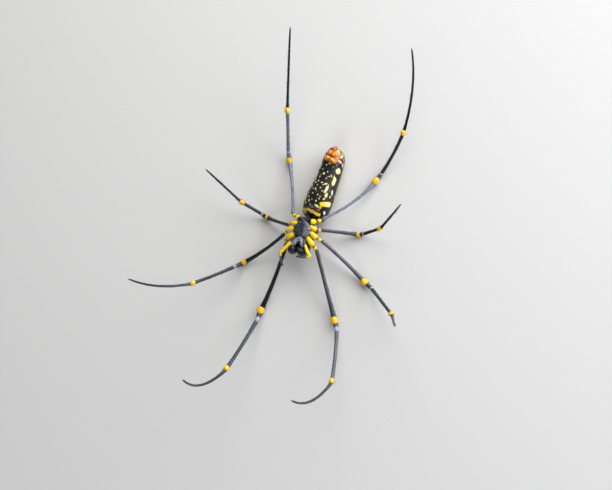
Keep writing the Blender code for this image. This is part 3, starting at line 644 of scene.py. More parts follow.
def eye_lens():
    """Clear cuticle over black pigment: nearly a mirror, with a brown depth."""
    material, tree = new_material("eye_lens")
    facing = add_node(tree, "ShaderNodeLayerWeight", {"Blend": 0.35})
    place = add_node(tree, "ShaderNodeTexCoord").outputs["Object"]
    depth = add_node(tree, "ShaderNodeTexNoise", {"Vector": place, "Scale": 1 / (0.3 * MM)})
    colour = add_node(tree, "ShaderNodeValToRGB", {"Fac": depth.outputs["Fac"]})
    colour.color_ramp.elements[0].color = linear("#050404")
    colour.color_ramp.elements[1].color = linear("#1e1008")
    rough = add_node(tree, "ShaderNodeMapRange", {"Value": facing.outputs["Facing"], "To Min": 0.05,
                                                  "To Max": 0.12})
    lens = add_node(tree, "ShaderNodeBsdfPrincipled", {
        "Base Color": colour.outputs["Color"], "Roughness": rough.outputs["Result"], "IOR": 1.52,
        "Coat Weight": 1.0, "Coat Roughness": 0.03})
    add_node(tree, "ShaderNodeOutputMaterial", {"Surface": lens.outputs["BSDF"]})
    return material


lens_material = eye_lens()
for node in EYES:
    low, high = (np.array(corner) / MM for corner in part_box(node))
    eye = bmesh.new()
    eye.loops.layers.uv.new("unwrap")
    bmesh.ops.create_uvsphere(eye, u_segments=EYE_SIDES, v_segments=EYE_RINGS, radius=(high - low)[0] / 2,
                              calc_uvs=True)
    bmesh.ops.translate(eye, vec=(low + high) / 2, verts=eye.verts)
    add_piece(node + "_lens", eye, lens_material, [node])

# Sternum: the heart-shaped plate between the hips, black cuticle with a pale down.
# A low keel runs down its middle and a boss stands opposite each hip.
STERNUM_RINGS, STERNUM_SIDES = 90, 128
PLATE_LEVEL, PLATE_FADE, PLATE_SUNK = 8.6, 0.5, 1.3


def sternum_relief(points):
    """The keel of the plate and a boss opposite each hip."""
    x, y = points[:, 0] - BODY.x, points[:, 1] - BODY.y
    top = np.clip((points[:, 2] - 8.7) / 0.4, 0, 1)
    relief = top * 0.14 * np.exp(-((x - 0.1) / 0.28) ** 2)
    for boss_x, boss_y in ((2.1, -1.2), (2.3, 0.5), (1.6, 2.0), (1.5, -2.2)):
        for side in (-1, 1):
            relief += top * 0.13 * np.exp(-((x - side * boss_x) ** 2 + (y - boss_y) ** 2) / 0.3)
    return relief + 0.02 * wander(points, 0.3, 7)


def sink(plate):
    """Draws the underside of a plate down into the soft body below it, so that no gap shows between them."""
    for vertex in plate.verts:
        vertex.co.z -= PLATE_SUNK * min(max((PLATE_LEVEL - vertex.co.z) / PLATE_FADE, 0), 1)


sternum_skin = wrapped("sternum", STERNUM_RINGS, STERNUM_SIDES, rounds=3)
press(sternum_skin, sternum_relief)
sink(sternum_skin)
sternum = add_piece("sternum_plate", sternum_skin, shell_material, ["sternum"])

# Mouthparts: the lip plate in the middle and a blade-like maxilla each side of it, dark grey.
# They meet over the mouth, and their inner edges carry a pale brush.
MOUTH_RINGS, MOUTH_SIDES = 48, 64


def mouth_cuticle():
    """Dark grey cuticle with random light grey patches, partly the real pale down and partly a painted highlight."""
    material, tree = new_material("mouth_cuticle")
    place = add_node(tree, "ShaderNodeTexCoord").outputs["Object"]
    patches = add_node(tree, "ShaderNodeTexNoise", {"Vector": place, "Scale": 1 / (0.7 * MM), "Detail": 4.0})
    colour = add_node(tree, "ShaderNodeValToRGB", {"Fac": patches.outputs["Fac"]})
    colour.color_ramp.elements[0].position = 0.35
    colour.color_ramp.elements[0].color = linear("#1c1c20")
    colour.color_ramp.elements[1].position = 0.7
    # Light grey end of the ramp: partly the pale down and partly a painted highlight.
    colour.color_ramp.elements[1].color = linear("#a9b0bf")
    grain = add_node(tree, "ShaderNodeTexNoise", {"Vector": place, "Scale": 1 / (0.1 * MM), "Detail": 2.0})
    bump = add_node(tree, "ShaderNodeBump", {"Height": grain.outputs["Fac"], "Strength": 0.5,
                                             "Distance": 0.03 * MM})
    plate = add_node(tree, "ShaderNodeBsdfPrincipled", {"Base Color": colour.outputs["Color"], "Roughness": 0.28,
                                                        "IOR": 1.6, "Normal": bump.outputs["Normal"],
                                                        "Coat Weight": 0.8, "Coat Roughness": 0.2})
    add_node(tree, "ShaderNodeOutputMaterial", {"Surface": plate.outputs["BSDF"]})
    return material


mouth_material = mouth_cuticle()
mouthparts = {}
for node in ("labium", "maxilla_right", "maxilla_left"):
    plate = wrapped(node, MOUTH_RINGS, MOUTH_SIDES, "Y", rounds=2)
    press(plate, lambda points: 0.03 * wander(points, 0.35, 8))
    sink(plate)
    mouthparts[node] = add_piece(node + "_plate", plate, mouth_material, [node])

# Jaws: two swollen oval chelicerae that hang from the front of the head, polished black.
# Each has a groove at its tip where the fang folds in, with a row of low teeth beside it.
JAW_RINGS, JAW_SIDES = 120, 110
TOOTH_SHARES, TOOTH_ASIDE, TOOTH_HEIGHT = (0.25, 0.42, 0.6, 0.78), 0.55, 0.22
fang_rows = {side: tube_sections(f"fang_{side}", (toward, 0, 0), 10) for side, toward in (("right", -1), ("left", 1))}


def polished_jaw():
    """Thick black cuticle, smooth and glossy, with the faint scratches of use."""
    material, tree = new_material("polished_jaw")
    place = add_node(tree, "ShaderNodeTexCoord").outputs["Object"]
    patches = add_node(tree, "ShaderNodeTexNoise", {"Vector": place, "Scale": 1 / (1.2 * MM), "Detail": 3.0})
    colour = add_node(tree, "ShaderNodeValToRGB", {"Fac": patches.outputs["Fac"]})
    colour.color_ramp.elements[0].color = linear("#070708")
    colour.color_ramp.elements[1].color = linear("#151417")
    rough = add_node(tree, "ShaderNodeMapRange", {"Value": patches.outputs["Fac"], "To Min": 0.16, "To Max": 0.3})
    grain = add_node(tree, "ShaderNodeTexNoise", {"Vector": place, "Scale": 1 / (0.2 * MM), "Detail": 3.0})
    bump = add_node(tree, "ShaderNodeBump", {"Height": grain.outputs["Fac"], "Strength": 0.2,
                                             "Distance": 0.03 * MM})
    jaw = add_node(tree, "ShaderNodeBsdfPrincipled", {
        "Base Color": colour.outputs["Color"], "Roughness": rough.outputs["Result"], "IOR": 1.56,
        "Specular IOR Level": 0.4, "Normal": bump.outputs["Normal"], "Coat Weight": 0.15,
        "Coat Roughness": 0.12})
    add_node(tree, "ShaderNodeOutputMaterial", {"Surface": jaw.outputs["BSDF"]})
    return material


def jaw_relief(side):
    """The groove that the fang folds into, and the low teeth in front of it and behind it."""
    line = fang_rows[side][:, :3]

    def relief(points):
        shares = np.linspace(0, 1, 60)
        fine = np.column_stack([np.interp(shares, np.linspace(0, 1, len(line)), column) for column in line.T])
        from_fang = np.min(np.linalg.norm(points[:, None] - fine[None], axis=2), axis=1)
        height = hollow(from_fang, 1.3, 0.2) + 0.03 * wander(points, 0.9, 9)
        for share in TOOTH_SHARES:
            for aside in (-TOOTH_ASIDE, TOOTH_ASIDE):
                tooth = fine[int(share * 59)] + np.array((aside * 0.6, aside, 0))
                away_from_tooth = np.hypot(points[:, 0] - tooth[0], points[:, 1] - tooth[1])
                height += (points[:, 2] > 8.6) * TOOTH_HEIGHT * np.clip(1 - away_from_tooth / 0.17, 0, 1)
        return height
    return relief


jaw_material = polished_jaw()
jaws = {}
for side in ("right", "left"):
    node = f"chelicera_{side}"
    jaw = wrapped(node, JAW_RINGS, JAW_SIDES, rounds=24)
    press(jaw, jaw_relief(side))
    jaws[side] = add_piece(f"chelicera_{side}_shell", jaw, jaw_material, [node])

# Fangs: one curved hook at the tip of each jaw, dark red-brown, folded inwards along its groove.
# They are turned out of hard cuticle that tapers to a needle point.
FANG_RINGS, FANG_SIDES = 60, 24


def fang_horn():
    """Tanned cuticle like dark horn, nearly black with patches of very dark red-brown."""
    material, tree = new_material("fang_horn")
    place = add_node(tree, "ShaderNodeTexCoord").outputs["Object"]
    patches = add_node(tree, "ShaderNodeTexNoise", {"Vector": place, "Scale": 1 / (0.6 * MM)})
    colour = add_node(tree, "ShaderNodeValToRGB", {"Fac": patches.outputs["Fac"]})
    colour.color_ramp.elements[0].color = linear("#0b0505")
    colour.color_ramp.elements[1].color = linear("#1d0b08")
    fang = add_node(tree, "ShaderNodeBsdfPrincipled", {"Base Color": colour.outputs["Color"], "Roughness": 0.18,
                                                       "IOR": 1.56})
    add_node(tree, "ShaderNodeOutputMaterial", {"Surface": fang.outputs["BSDF"]})
    return material


def spline(points, values, step):
    """A smooth path through points, with a value at each, in steps of about that length."""
    points = np.array(points, float)
    distance = along_path(points)
    fine = np.linspace(0, distance[-1], max(12, int(distance[-1] / step)))
    path = np.column_stack([np.interp(fine, distance, column) for column in points.T])
    rounds = max(1, int((distance[-1] / (len(points) - 1) / 2 / step) ** 2 / 2))
    return smoothed(path, rounds), smoothed(np.interp(fine, distance, values), rounds), fine


fang_material = fang_horn()
for side in ("right", "left"):
    rows = fang_rows[side]
    ends = [rows[0, :3] * 1.5 - rows[1, :3] * 0.5, *rows[:, :3], rows[-1, :3] * 1.6 - rows[-2, :3] * 0.6]
    path, radii, fine = spline(ends, [rows[0, 3], *rows[:, 3], 0.05], 0.05)
    radii = rounded_ends(radii, fine, 0.12)
    add_piece(f"fang_{side}_hook", draw_out(tube_places(path, radii, FANG_SIDES)[0]), fang_material,
              [f"fang_{side}"])

# Waist: the narrow stalk that joins the two halves of the body, soft dark skin with ring folds.
# It runs a little way into both, so that no gap shows.
WAIST_SUNK, WAIST_FOLD = 1.4, 0.3
low, high = (np.array(corner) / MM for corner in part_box("pedicel"))
middle, reach = (low + high) / 2, np.array((0, (high - low)[1] / 2 + WAIST_SUNK, 0))
path, radii, fine = spline([middle - reach, middle, middle + reach], [(high - low)[2] / 2] * 3, 0.06)
radii = rounded_ends(radii + 0.04 * np.sin(fine / WAIST_FOLD * math.tau), fine, 0.3)
add_piece("waist_stalk", draw_out(tube_places(path, radii, 48)[0]), shell_material, ["pedicel"])

# Legs: eight long jointed legs, each one skin from hip to claw, black with a painted slate-grey sheen.
# Hips and the next short segment are golden yellow, with painted orange shade on their sides away from the belly,
# and with an amber ball under each knee and ankle.
LEG_SIDES, LEG_STEP, CUTS = 36, 0.17, 14
HIP_DIVE = 1.1
PATELLA_SHARE = {1: 0.161, 2: 0.185, 3: 0.21, 4: 0.165}
TARSUS_SHARE = 0.74
NECK_SHARES = {1: (0.68, 0.79), 2: (0.61, 0.75), 3: (0.59, 0.74), 4: (0.6, 0.73)}
HIP_GOLD_START = {1: 0.12, 2: 0.1, 3: 0.08, 4: 0.3}
# How far short of the knee joint the amber ball of each leg is centred.
BALL_BACK = {(1, "right"): 0.3, (2, "right"): 0.3, (3, "right"): 0.05, (4, "right"): -0.2, (1, "left"): 0.4,
             (2, "left"): 0.95, (3, "left"): 0.85, (4, "left"): 0.5}
LEG_COLOURS = dict(gold="#ffd60e", orange="#f0960a", amber="#ffc60a", pale="#a7acb9", neck="#5a5a66")
# How strongly a painted slate-grey sheen covers the long segments of each leg: thigh, shin and foot.
# It stands in for the light that some legs catch more than others, so it differs from leg to leg.
PAINTED_SHEEN = {(1, "right"): (0.2, 0.36, 0.18), (2, "right"): (0.36, 0.2, 0.0), (3, "right"): (0.26, 0.03, 0.0),
         (4, "right"): (1.0, 0.04, 0.0), (1, "left"): (0.0, 0.14, 0.08), (2, "left"): (0.0, 0.2, 0.14),
         (3, "left"): (0.12, 0.07, 0.03), (4, "left"): (0.85, 0.6, 0.0)}
# How far each way the knee ball of each pair of legs reaches, and the pale skin before and after the next joint.
KNEE_BALL = {1: 1.6, 2: 1.4, 3: 1.2, 4: 1.35}
PALE_SKIN = {1: (1.3, 0.35), 2: (0.5, 0.35), 3: (0.35, 0.3), 4: (0.35, 0.3)}
THIGH_SLIMMER = {1: 0.03, 2: 0.03, 3: 0.03, 4: 0.15}
LEGS = [(number, side) for side in ("right", "left") for number in (1, 2, 3, 4)]


def glossy_cuticle():
    """Hard leg cuticle: deep black with a painted slate-grey sheen, golden and amber where the pigment is."""
    material, tree = new_material("glossy_cuticle")
    place = add_node(tree, "ShaderNodeTexCoord").outputs["Object"]
    patches = add_node(tree, "ShaderNodeTexNoise", {"Vector": place, "Scale": 1 / (1.4 * MM), "Detail": 4.0})
    ground = add_node(tree, "ShaderNodeValToRGB", {"Fac": patches.outputs["Fac"]})
    ground.color_ramp.elements[0].position = 0.35
    ground.color_ramp.elements[0].color = linear("#070708")
    ground.color_ramp.elements[1].position = 0.75
    ground.color_ramp.elements[1].color = linear("#121215")
    painted_sheen = add_node(tree, "ShaderNodeAttribute", attribute_name="painted_sheen")
    # Painted sheen: a slate grey mixed into the black, standing in for the light that the legs catch.
    slate = add_node(tree, "ShaderNodeMix", {"Factor": painted_sheen.outputs["Fac"], 6: ground.outputs["Color"],
                                             7: linear("#959ba8")}, data_type="RGBA")
    edge = add_node(tree, "ShaderNodeAttribute", attribute_name="edge")
    tint = add_node(tree, "ShaderNodeAttribute", attribute_name="tint")
    grain = add_node(tree, "ShaderNodeTexNoise", {"Vector": place, "Scale": 1 / (0.2 * MM), "Detail": 3.0})
    rough_edge = add_node(tree, "ShaderNodeMath", {0: grain.outputs["Fac"], 1: 0.25, 2: edge.outputs["Fac"]},
                          operation="MULTIPLY_ADD")
    cover = add_node(tree, "ShaderNodeMapRange", {"Value": rough_edge.outputs["Value"], "From Min": 0.0,
                                                  "From Max": 0.3}, interpolation_type="SMOOTHSTEP")
    colour = add_node(tree, "ShaderNodeMix", {"Factor": cover.outputs["Result"], 6: slate.outputs[2],
                                              7: tint.outputs["Color"]}, data_type="RGBA")
    rough = add_node(tree, "ShaderNodeMapRange", {"Value": grain.outputs["Fac"], "To Min": 0.26, "To Max": 0.4})
    bump = add_node(tree, "ShaderNodeBump", {"Height": grain.outputs["Fac"], "Strength": 0.2,
                                             "Distance": 0.03 * MM})
    skin = add_node(tree, "ShaderNodeBsdfPrincipled", {
        "Base Color": colour.outputs[2], "Roughness": rough.outputs["Result"], "IOR": 1.52,
        "Normal": bump.outputs["Normal"], "Specular IOR Level": 0.32, "Specular Tint": linear("#eef0fa"),
        "Coat Weight": 0.35, "Coat Roughness": 0.25, "Coat IOR": 1.5, "Subsurface Weight": 0.2,
        "Subsurface Radius": (1.0 * MM, 0.35 * MM, 0.05 * MM), "Subsurface Scale": 1.0})
    add_node(tree, "ShaderNodeOutputMaterial", {"Surface": skin.outputs["BSDF"]})
    return material


def whole_hip(rows):
    """The hip's sections with its inner end, cut away in the solid, made whole and led under the plate."""
    step = (rows[8, :3] - rows[4, :3]) / 4
    for cut in range(4):
        rows[cut, :3] = rows[4, :3] - step * (4 - cut) - np.array((0, 0, HIP_DIVE * (4 - cut) / 4))
        rows[cut, 3] = max(rows[4:7, 3]) * (0.62 + 0.09 * cut)
    return rows


def leg_path(number, side):
    """The middle line of a leg with its radius, from the solids, and how far along each segment ends."""
    toward = 1 if side == "right" else -1
    outward = {1: (0.4 * toward, -1, 0), 2: (toward, -0.5, 0), 3: (toward, 0.1, 0), 4: (0.5 * toward, 1, 0)}
    rows = []
    ends = []
    for segment in ("coxa", "femur", "tibia", "foot"):
        found = tube_sections(f"leg{number}_{side}_{segment}", outward[number], CUTS)
        if segment == "foot":
            found = found[np.argsort(found[:, 2])]
        if segment == "coxa":
            found = whole_hip(found)
        rows.append(found)
        ends.append(found[-1, :3] * 1.5 - found[-2, :3] * 0.5)
    start = rows[0][0, :3] * 1.5 - rows[0][1, :3] * 0.5
    sunk = start + (start - rows[0][2, :3]) / np.linalg.norm(start - rows[0][2, :3]) * 1.0
    tip = ends[-1]
    points = np.vstack([sunk, *[row[:, :3] for row in rows], tip])
    values = np.concatenate([[rows[0][0, 3]], *[row[:, 3] for row in rows], [0.16]])
    distance = along_path(points)
    marks = [distance[1]]
    for part, end in enumerate(ends):
        last = 1 + CUTS * (part + 1) - 1
        marks.append(distance[last] + np.linalg.norm(end - points[last]))
    fine = np.linspace(0, distance[-1], int(distance[-1] / LEG_STEP))
    path = smoothed(np.column_stack([np.interp(fine, distance, column) for column in points.T]), 10)
    return path, smoothed(np.interp(fine, distance, values), 2), fine, marks


leg_material = glossy_cuticle()
leg_pieces = {}
leg_lines = {}
for number, side in LEGS:
    path, radii, fine, marks = leg_path(number, side)
    hip, trochanter_end, knee, shin, end = marks
    neck_start, neck_end = (hip + (trochanter_end - hip) * share for share in NECK_SHARES[number])
    shin_joint = knee + (shin - knee) * PATELLA_SHARE[number]
    tarsus = shin + (end - shin) * TARSUS_SHARE
    middle, half = (neck_start + neck_end) / 2, (neck_end - neck_start) / 2
    radii = radii - 0.34 * np.exp(-((fine - middle) / (half * 1.15)) ** 4)
    radii = radii - 0.12 * np.exp(-((fine - (neck_end + trochanter_end) / 2) / 0.6) ** 4)
    thigh = np.clip(np.minimum((fine - trochanter_end - 0.5) / 2, (knee - 1.2 - fine) / 6), 0, 1)
    radii = radii - THIGH_SLIMMER[number] * thigh
    for joint, width, depth in ((neck_start, 0.25, 0.08), (trochanter_end, 0.5, 0.26), (shin_joint, 0.45, 0.13),
                                (shin + 0.6, 0.35, 0.06), (tarsus, 0.4, 0.07)):
        radii = radii + hollow(fine - joint, width, depth)
    for joint, width, height in ((trochanter_end - 0.45, 0.5, 0.07), (shin_joint - 0.35, 0.4, 0.05)):
        radii = radii - hollow(fine - joint, width, height)
    radii = rounded_ends(radii, fine, 0.2)
    places, tangents = tube_places(path, radii, LEG_SIDES)
    belly_side = 0.4 + 0.6 * np.clip(np.cos(np.linspace(0, math.tau, LEG_SIDES, endpoint=False)), 0, 1)
    ball = 0.5 * np.sqrt(np.clip(1 - ((fine - knee + BALL_BACK[number, side]) / KNEE_BALL[number]) ** 2, 0, 1))
    ball += 0.42 * np.sqrt(np.clip(1 - ((fine - shin + 0.3) / 1.0) ** 2, 0, 1))
    places += (places - path[:, None]) / np.maximum(radii, 0.01)[:, None, None] * (
        ball[:, None, None] * belly_side[None, :, None])
    places[:, :, 2] = np.maximum(places[:, :, 2], 0)
    piece = add_piece(f"leg{number}_{side}_skin", draw_out(places), leg_material,
                      [f"leg{number}_{side}_{part}" for part in ("coxa", "femur", "tibia", "foot")])
    leg_pieces[number, side] = piece
    leg_lines[number, side] = (path, tangents, fine,
                               (hip + (trochanter_end - hip) * HIP_GOLD_START[number], neck_start, neck_end,
                                trochanter_end, knee, shin_joint, shin, tarsus, end))


def leg_coordinates(leg, points):
    """How far points lie along a leg, and how much each faces the belly, from -1 to 1."""
    path, tangents, fine, _ = leg_lines[leg]
    nearest = np.concatenate([np.argmin(((block[:, None] - path[None, ::4]) ** 2).sum(axis=2), axis=1) * 4
                              for block in np.array_split(points, 1 + len(points) // 4000)])
    offset = points - path[nearest]
    along = fine[nearest] + (offset * tangents[nearest]).sum(axis=1)
    outward = offset - tangents[nearest] * (offset * tangents[nearest]).sum(axis=1)[:, None]
    belly = np.array((0, 0, 1.0)) - tangents[nearest] * tangents[nearest][:, 2:3]
    facing = (outward * belly).sum(axis=1) / np.maximum(
        np.linalg.norm(outward, axis=1) * np.linalg.norm(belly, axis=1), 1e-6)
    return along, facing


def leg_marks(leg, points):
    """For each point of a leg, how far inside a coloured part it lies, and that part's colour."""
    gold_start, neck_start, neck_end, trochanter_end, knee, shin_joint, shin, tarsus, end = leg_lines[leg][3]
    along, facing = leg_coordinates(leg, points)
    colours = {name: np.array(linear(value)) for name, value in LEG_COLOURS.items()}
    parts = (
        (np.minimum(along - gold_start, neck_start + 0.05 - along), "gold"),
        (np.minimum(along - neck_start, neck_end - along) - 0.05, "neck"),
        (np.minimum(along - neck_end, trochanter_end - 0.1 - along), "gold"),
        (KNEE_BALL[leg[0]] + 0.08 - np.hypot(along - knee + BALL_BACK[leg], 1.2 * np.maximum(1 - facing, 0) ** 0.8),
         "amber"),
        (np.minimum(along - shin_joint + PALE_SKIN[leg[0]][0], shin_joint + PALE_SKIN[leg[0]][1] - along), "pale"),
        (1.06 - np.hypot(along - shin + 0.3, 0.85 * np.maximum(1 - facing, 0) ** 0.8), "amber"),
    )
    edge = np.full(len(points), -9.0)
    tint = np.tile(colours["gold"], (len(points), 1))
    for inside, colour in parts:
        nearer = inside > edge
        edge[nearer] = inside[nearer]
        tint[nearer] = colours[colour]
    # Painted shade: orange mixed into the gold on the hip's sides that face away from the belly, most from the neck
    # on.
    painted_hip_shade = np.clip((along - neck_start + 1.0) / 1.0, 0, 1) * np.clip(1 - facing, 0, 1) * (along < trochanter_end)
    painted_hip_shade = np.maximum(painted_hip_shade, 0.7 * np.clip(0.1 - facing, 0, 1) * (along < trochanter_end))[:, None]
    return edge, tint * (1 - painted_hip_shade) + colours["orange"] * painted_hip_shade


def painted_leg_sheen(leg, points):
    """How much of the painted slate-grey sheen lies at each point of a leg, patchy and fading to the foot tip."""
    _, _, _, trochanter_end, knee, shin_joint, shin, tarsus, end = leg_lines[leg][3]
    thigh, shank, foot = PAINTED_SHEEN[leg]
    along, _ = leg_coordinates(leg, points)
    share = np.interp(along, (trochanter_end, trochanter_end + 0.5, knee - 1, shin_joint + 0.4, shin, shin + 1,
                              (shin + tarsus) / 2, end), (0, thigh, thigh, shank, shank, foot, foot * 0.6, 0))
    return share * np.clip(0.8 + 0.4 * wander(points, 1.3, 12), 0, 1)


for leg, piece in leg_pieces.items():
    edge, tint = leg_marks(leg, positions(piece))
    set_values(piece, "edge", edge)
    set_values(piece, "tint", tint)
    set_values(piece, "painted_sheen", painted_leg_sheen(leg, positions(piece)))

# Palps: the two short feelers beside the jaws, yellow as far as the knee and dark grey beyond it.
# The right one is folded across the jaws and the left one reaches ahead.
PALP_SIDES, PALP_STEP = 32, 0.08
PALP_GIRTH = np.linspace(0.4, 0.6, 10)
palps = {}
for side in ("right", "left"):
    toward = 1 if side == "right" else -1
    upper = tube_sections(f"palp_{side}_femur", (0.3 * toward, -1, 0.2), 10)
    lower = tube_sections(f"palp_{side}_tip", (-1, -0.3, 0) if side == "right" else (0.2, -1, -0.3), 10)
    ends = [upper[0, :3] * 2.5 - upper[1, :3] * 1.5, *upper[:, :3], *lower[:, :3], lower[-1, :3] * 1.6 -
            lower[-2, :3] * 0.6]
    girths = [0.42, *np.maximum(upper[:, 3], PALP_GIRTH), *(lower[:, 3] * 0.86), 0.16]
    path, radii, fine = spline(ends, girths, PALP_STEP)
    knee = along_path(np.array(ends))[11]
    radii = radii + hollow(fine - knee - 0.9, 0.35, 0.1) + hollow(fine - knee * 0.3, 0.3, 0.08)
    places, tangents = tube_places(path, rounded_ends(radii, fine, 0.3), PALP_SIDES)
    piece = add_piece(f"palp_{side}_skin", draw_out(places), leg_material,
                      [f"palp_{side}_femur", f"palp_{side}_tip"])
    palps[side] = (piece, path, tangents)
    points = positions(piece)
    nearest = np.argmin(((points[:, None] - path[None]) ** 2).sum(axis=2), axis=1)
    set_values(piece, "edge", np.minimum(knee + 1.0 - fine[nearest], fine[nearest] - knee * 0.3))
    set_values(piece, "tint", np.tile(linear(LEG_COLOURS["gold"]), (len(points), 1)))
    # The palps carry a little of the painted slate-grey sheen as well.
    set_values(piece, "painted_sheen", np.full(len(points), 0.25))

# Claws: two curved main claws and a smaller middle hook at the tip of every foot, hard dark horn.
# They are set in the end of the foot and bend down towards the leg's own underside.
CLAW_LENGTH, CLAW_WIDTH, CLAW_STEPS, CLAW_SIDES = 0.55, 0.13, 14, 10
for (number, side), (path, tangents, fine, _) in leg_lines.items():
    forward = tangents[-3]
    down = np.cross(forward, np.cross((0, 0, 1.0), forward))
    down = down / np.linalg.norm(down)
    across = np.cross(forward, down)
    claws = bmesh.new()
    for spread, scale in ((-0.5, 1.0), (0.5, 1.0), (0.0, 0.7)):
        turn = np.linspace(0, 1, CLAW_STEPS)[:, None]
        line = path[-2] + across * spread * CLAW_WIDTH * 1.6 + CLAW_LENGTH * scale * (
            forward * np.sin(turn * 1.3) - down * 0.75 * (1 - np.cos(turn * 1.6)) + across * spread * 0.4 * turn)
        girths = CLAW_WIDTH / 2 * scale * (1 - turn[:, 0]) ** 0.7 * (turn[:, 0] > 0)
        claw = draw_out(tube_places(line, girths, CLAW_SIDES, across)[0])
        claw_mesh = bpy.data.meshes.new("claw")
        claw.to_mesh(claw_mesh)
        claw.free()
        claws.from_mesh(claw_mesh)
        bpy.data.meshes.remove(claw_mesh)
    add_piece(f"leg{number}_{side}_claws", claws, fang_material, [])

# Coat: fine hairs on every part, lying along it towards its tip. They are silver-grey down on the shields,
# a pale brush at the mouth, dark hairs and standing spines on the legs, and short hairs over the abdomen.
# Each hair is a bent three-sided blade of real chitin, many times finer in life, and is drawn thicker here.
HAIR_PATCH = 0.0015
BENDS = ((0.0, 0.0), (0.5, 1.0), (1.0, 0.75))


def hair_roots(piece, lies, count, draw, weight=None):
    """Random places on a skin by area: root, normal, lie, place on its unwrap, and its edge and tint values."""
    mesh = piece.data
    mesh.calc_loop_triangles()
    triangles = len(mesh.loop_triangles)
    corners, loops = np.zeros(triangles * 3, np.int32), np.zeros(triangles * 3, np.int32)
    mesh.loop_triangles.foreach_get("vertices", corners)
    mesh.loop_triangles.foreach_get("loops", loops)
    corners, loops = corners.reshape(-1, 3), loops.reshape(-1, 3)
    unwrap = np.zeros(len(mesh.loops) * 2, np.float32)
    mesh.uv_layers["unwrap"].data.foreach_get("uv", unwrap)
    unwrap = unwrap.reshape(-1, 2)
    points = positions(piece)
    first, second, third = (points[corners[:, at]] for at in range(3))
    normals = np.cross(second - first, third - first)
    areas = np.linalg.norm(normals, axis=1)
    chance = areas if weight is None else areas * np.clip(weight((first + second + third) / 3), 0, None)
    chosen = draw.choice(triangles, count, p=chance / chance.sum())
    split = np.sort(draw.random((count, 2)), axis=1)
    shares = np.column_stack((split[:, 0], split[:, 1] - split[:, 0], 1 - split[:, 1]))

    def mixed(values, index):
        return (values[index[chosen]] * shares[:, :, None]).sum(axis=1)

    normal = normals[chosen] / areas[chosen][:, None]
    tints = np.tile((0.0, 0.0, 0.0, 1.0), (len(points), 1))
    edges = np.full((len(points), 1), -9.0)
    if "edge" in mesh.attributes:
        flat = np.zeros(len(points), np.float32)
        mesh.attributes["edge"].data.foreach_get("value", flat)
        edges = flat.reshape(-1, 1)
        flat = np.zeros(len(points) * 4, np.float32)
        mesh.attributes["tint"].data.foreach_get("color", flat)
        tints = flat.reshape(-1, 4)
    root = mixed(points, corners)
    lie = lies(root)
    lie = lie - normal * (lie * normal).sum(axis=1)[:, None]
    lie /= np.maximum(np.linalg.norm(lie, axis=1), 1e-6)[:, None]
    return root, normal, lie, mixed(unwrap, loops), mixed(edges, corners)[:, 0], mixed(tints, corners)


def hair_material():
    """Dry chitin hair: it takes its root's colour, with a soft silky shine."""
    material, tree = new_material("chitin_hair")
    tint = add_node(tree, "ShaderNodeAttribute", attribute_name="tint")
    place = add_node(tree, "ShaderNodeTexCoord").outputs["Object"]
    grain = add_node(tree, "ShaderNodeTexNoise", {"Vector": place, "Scale": 1 / (0.4 * MM)})
    rough = add_node(tree, "ShaderNodeMapRange", {"Value": grain.outputs["Fac"], "To Min": 0.35, "To Max": 0.6})
    hair = add_node(tree, "ShaderNodeBsdfPrincipled", {"Base Color": tint.outputs["Color"],
                                                       "Roughness": rough.outputs["Result"]})
    add_node(tree, "ShaderNodeOutputMaterial", {"Surface": hair.outputs["BSDF"]})
    return material


chitin_hair = hair_material()


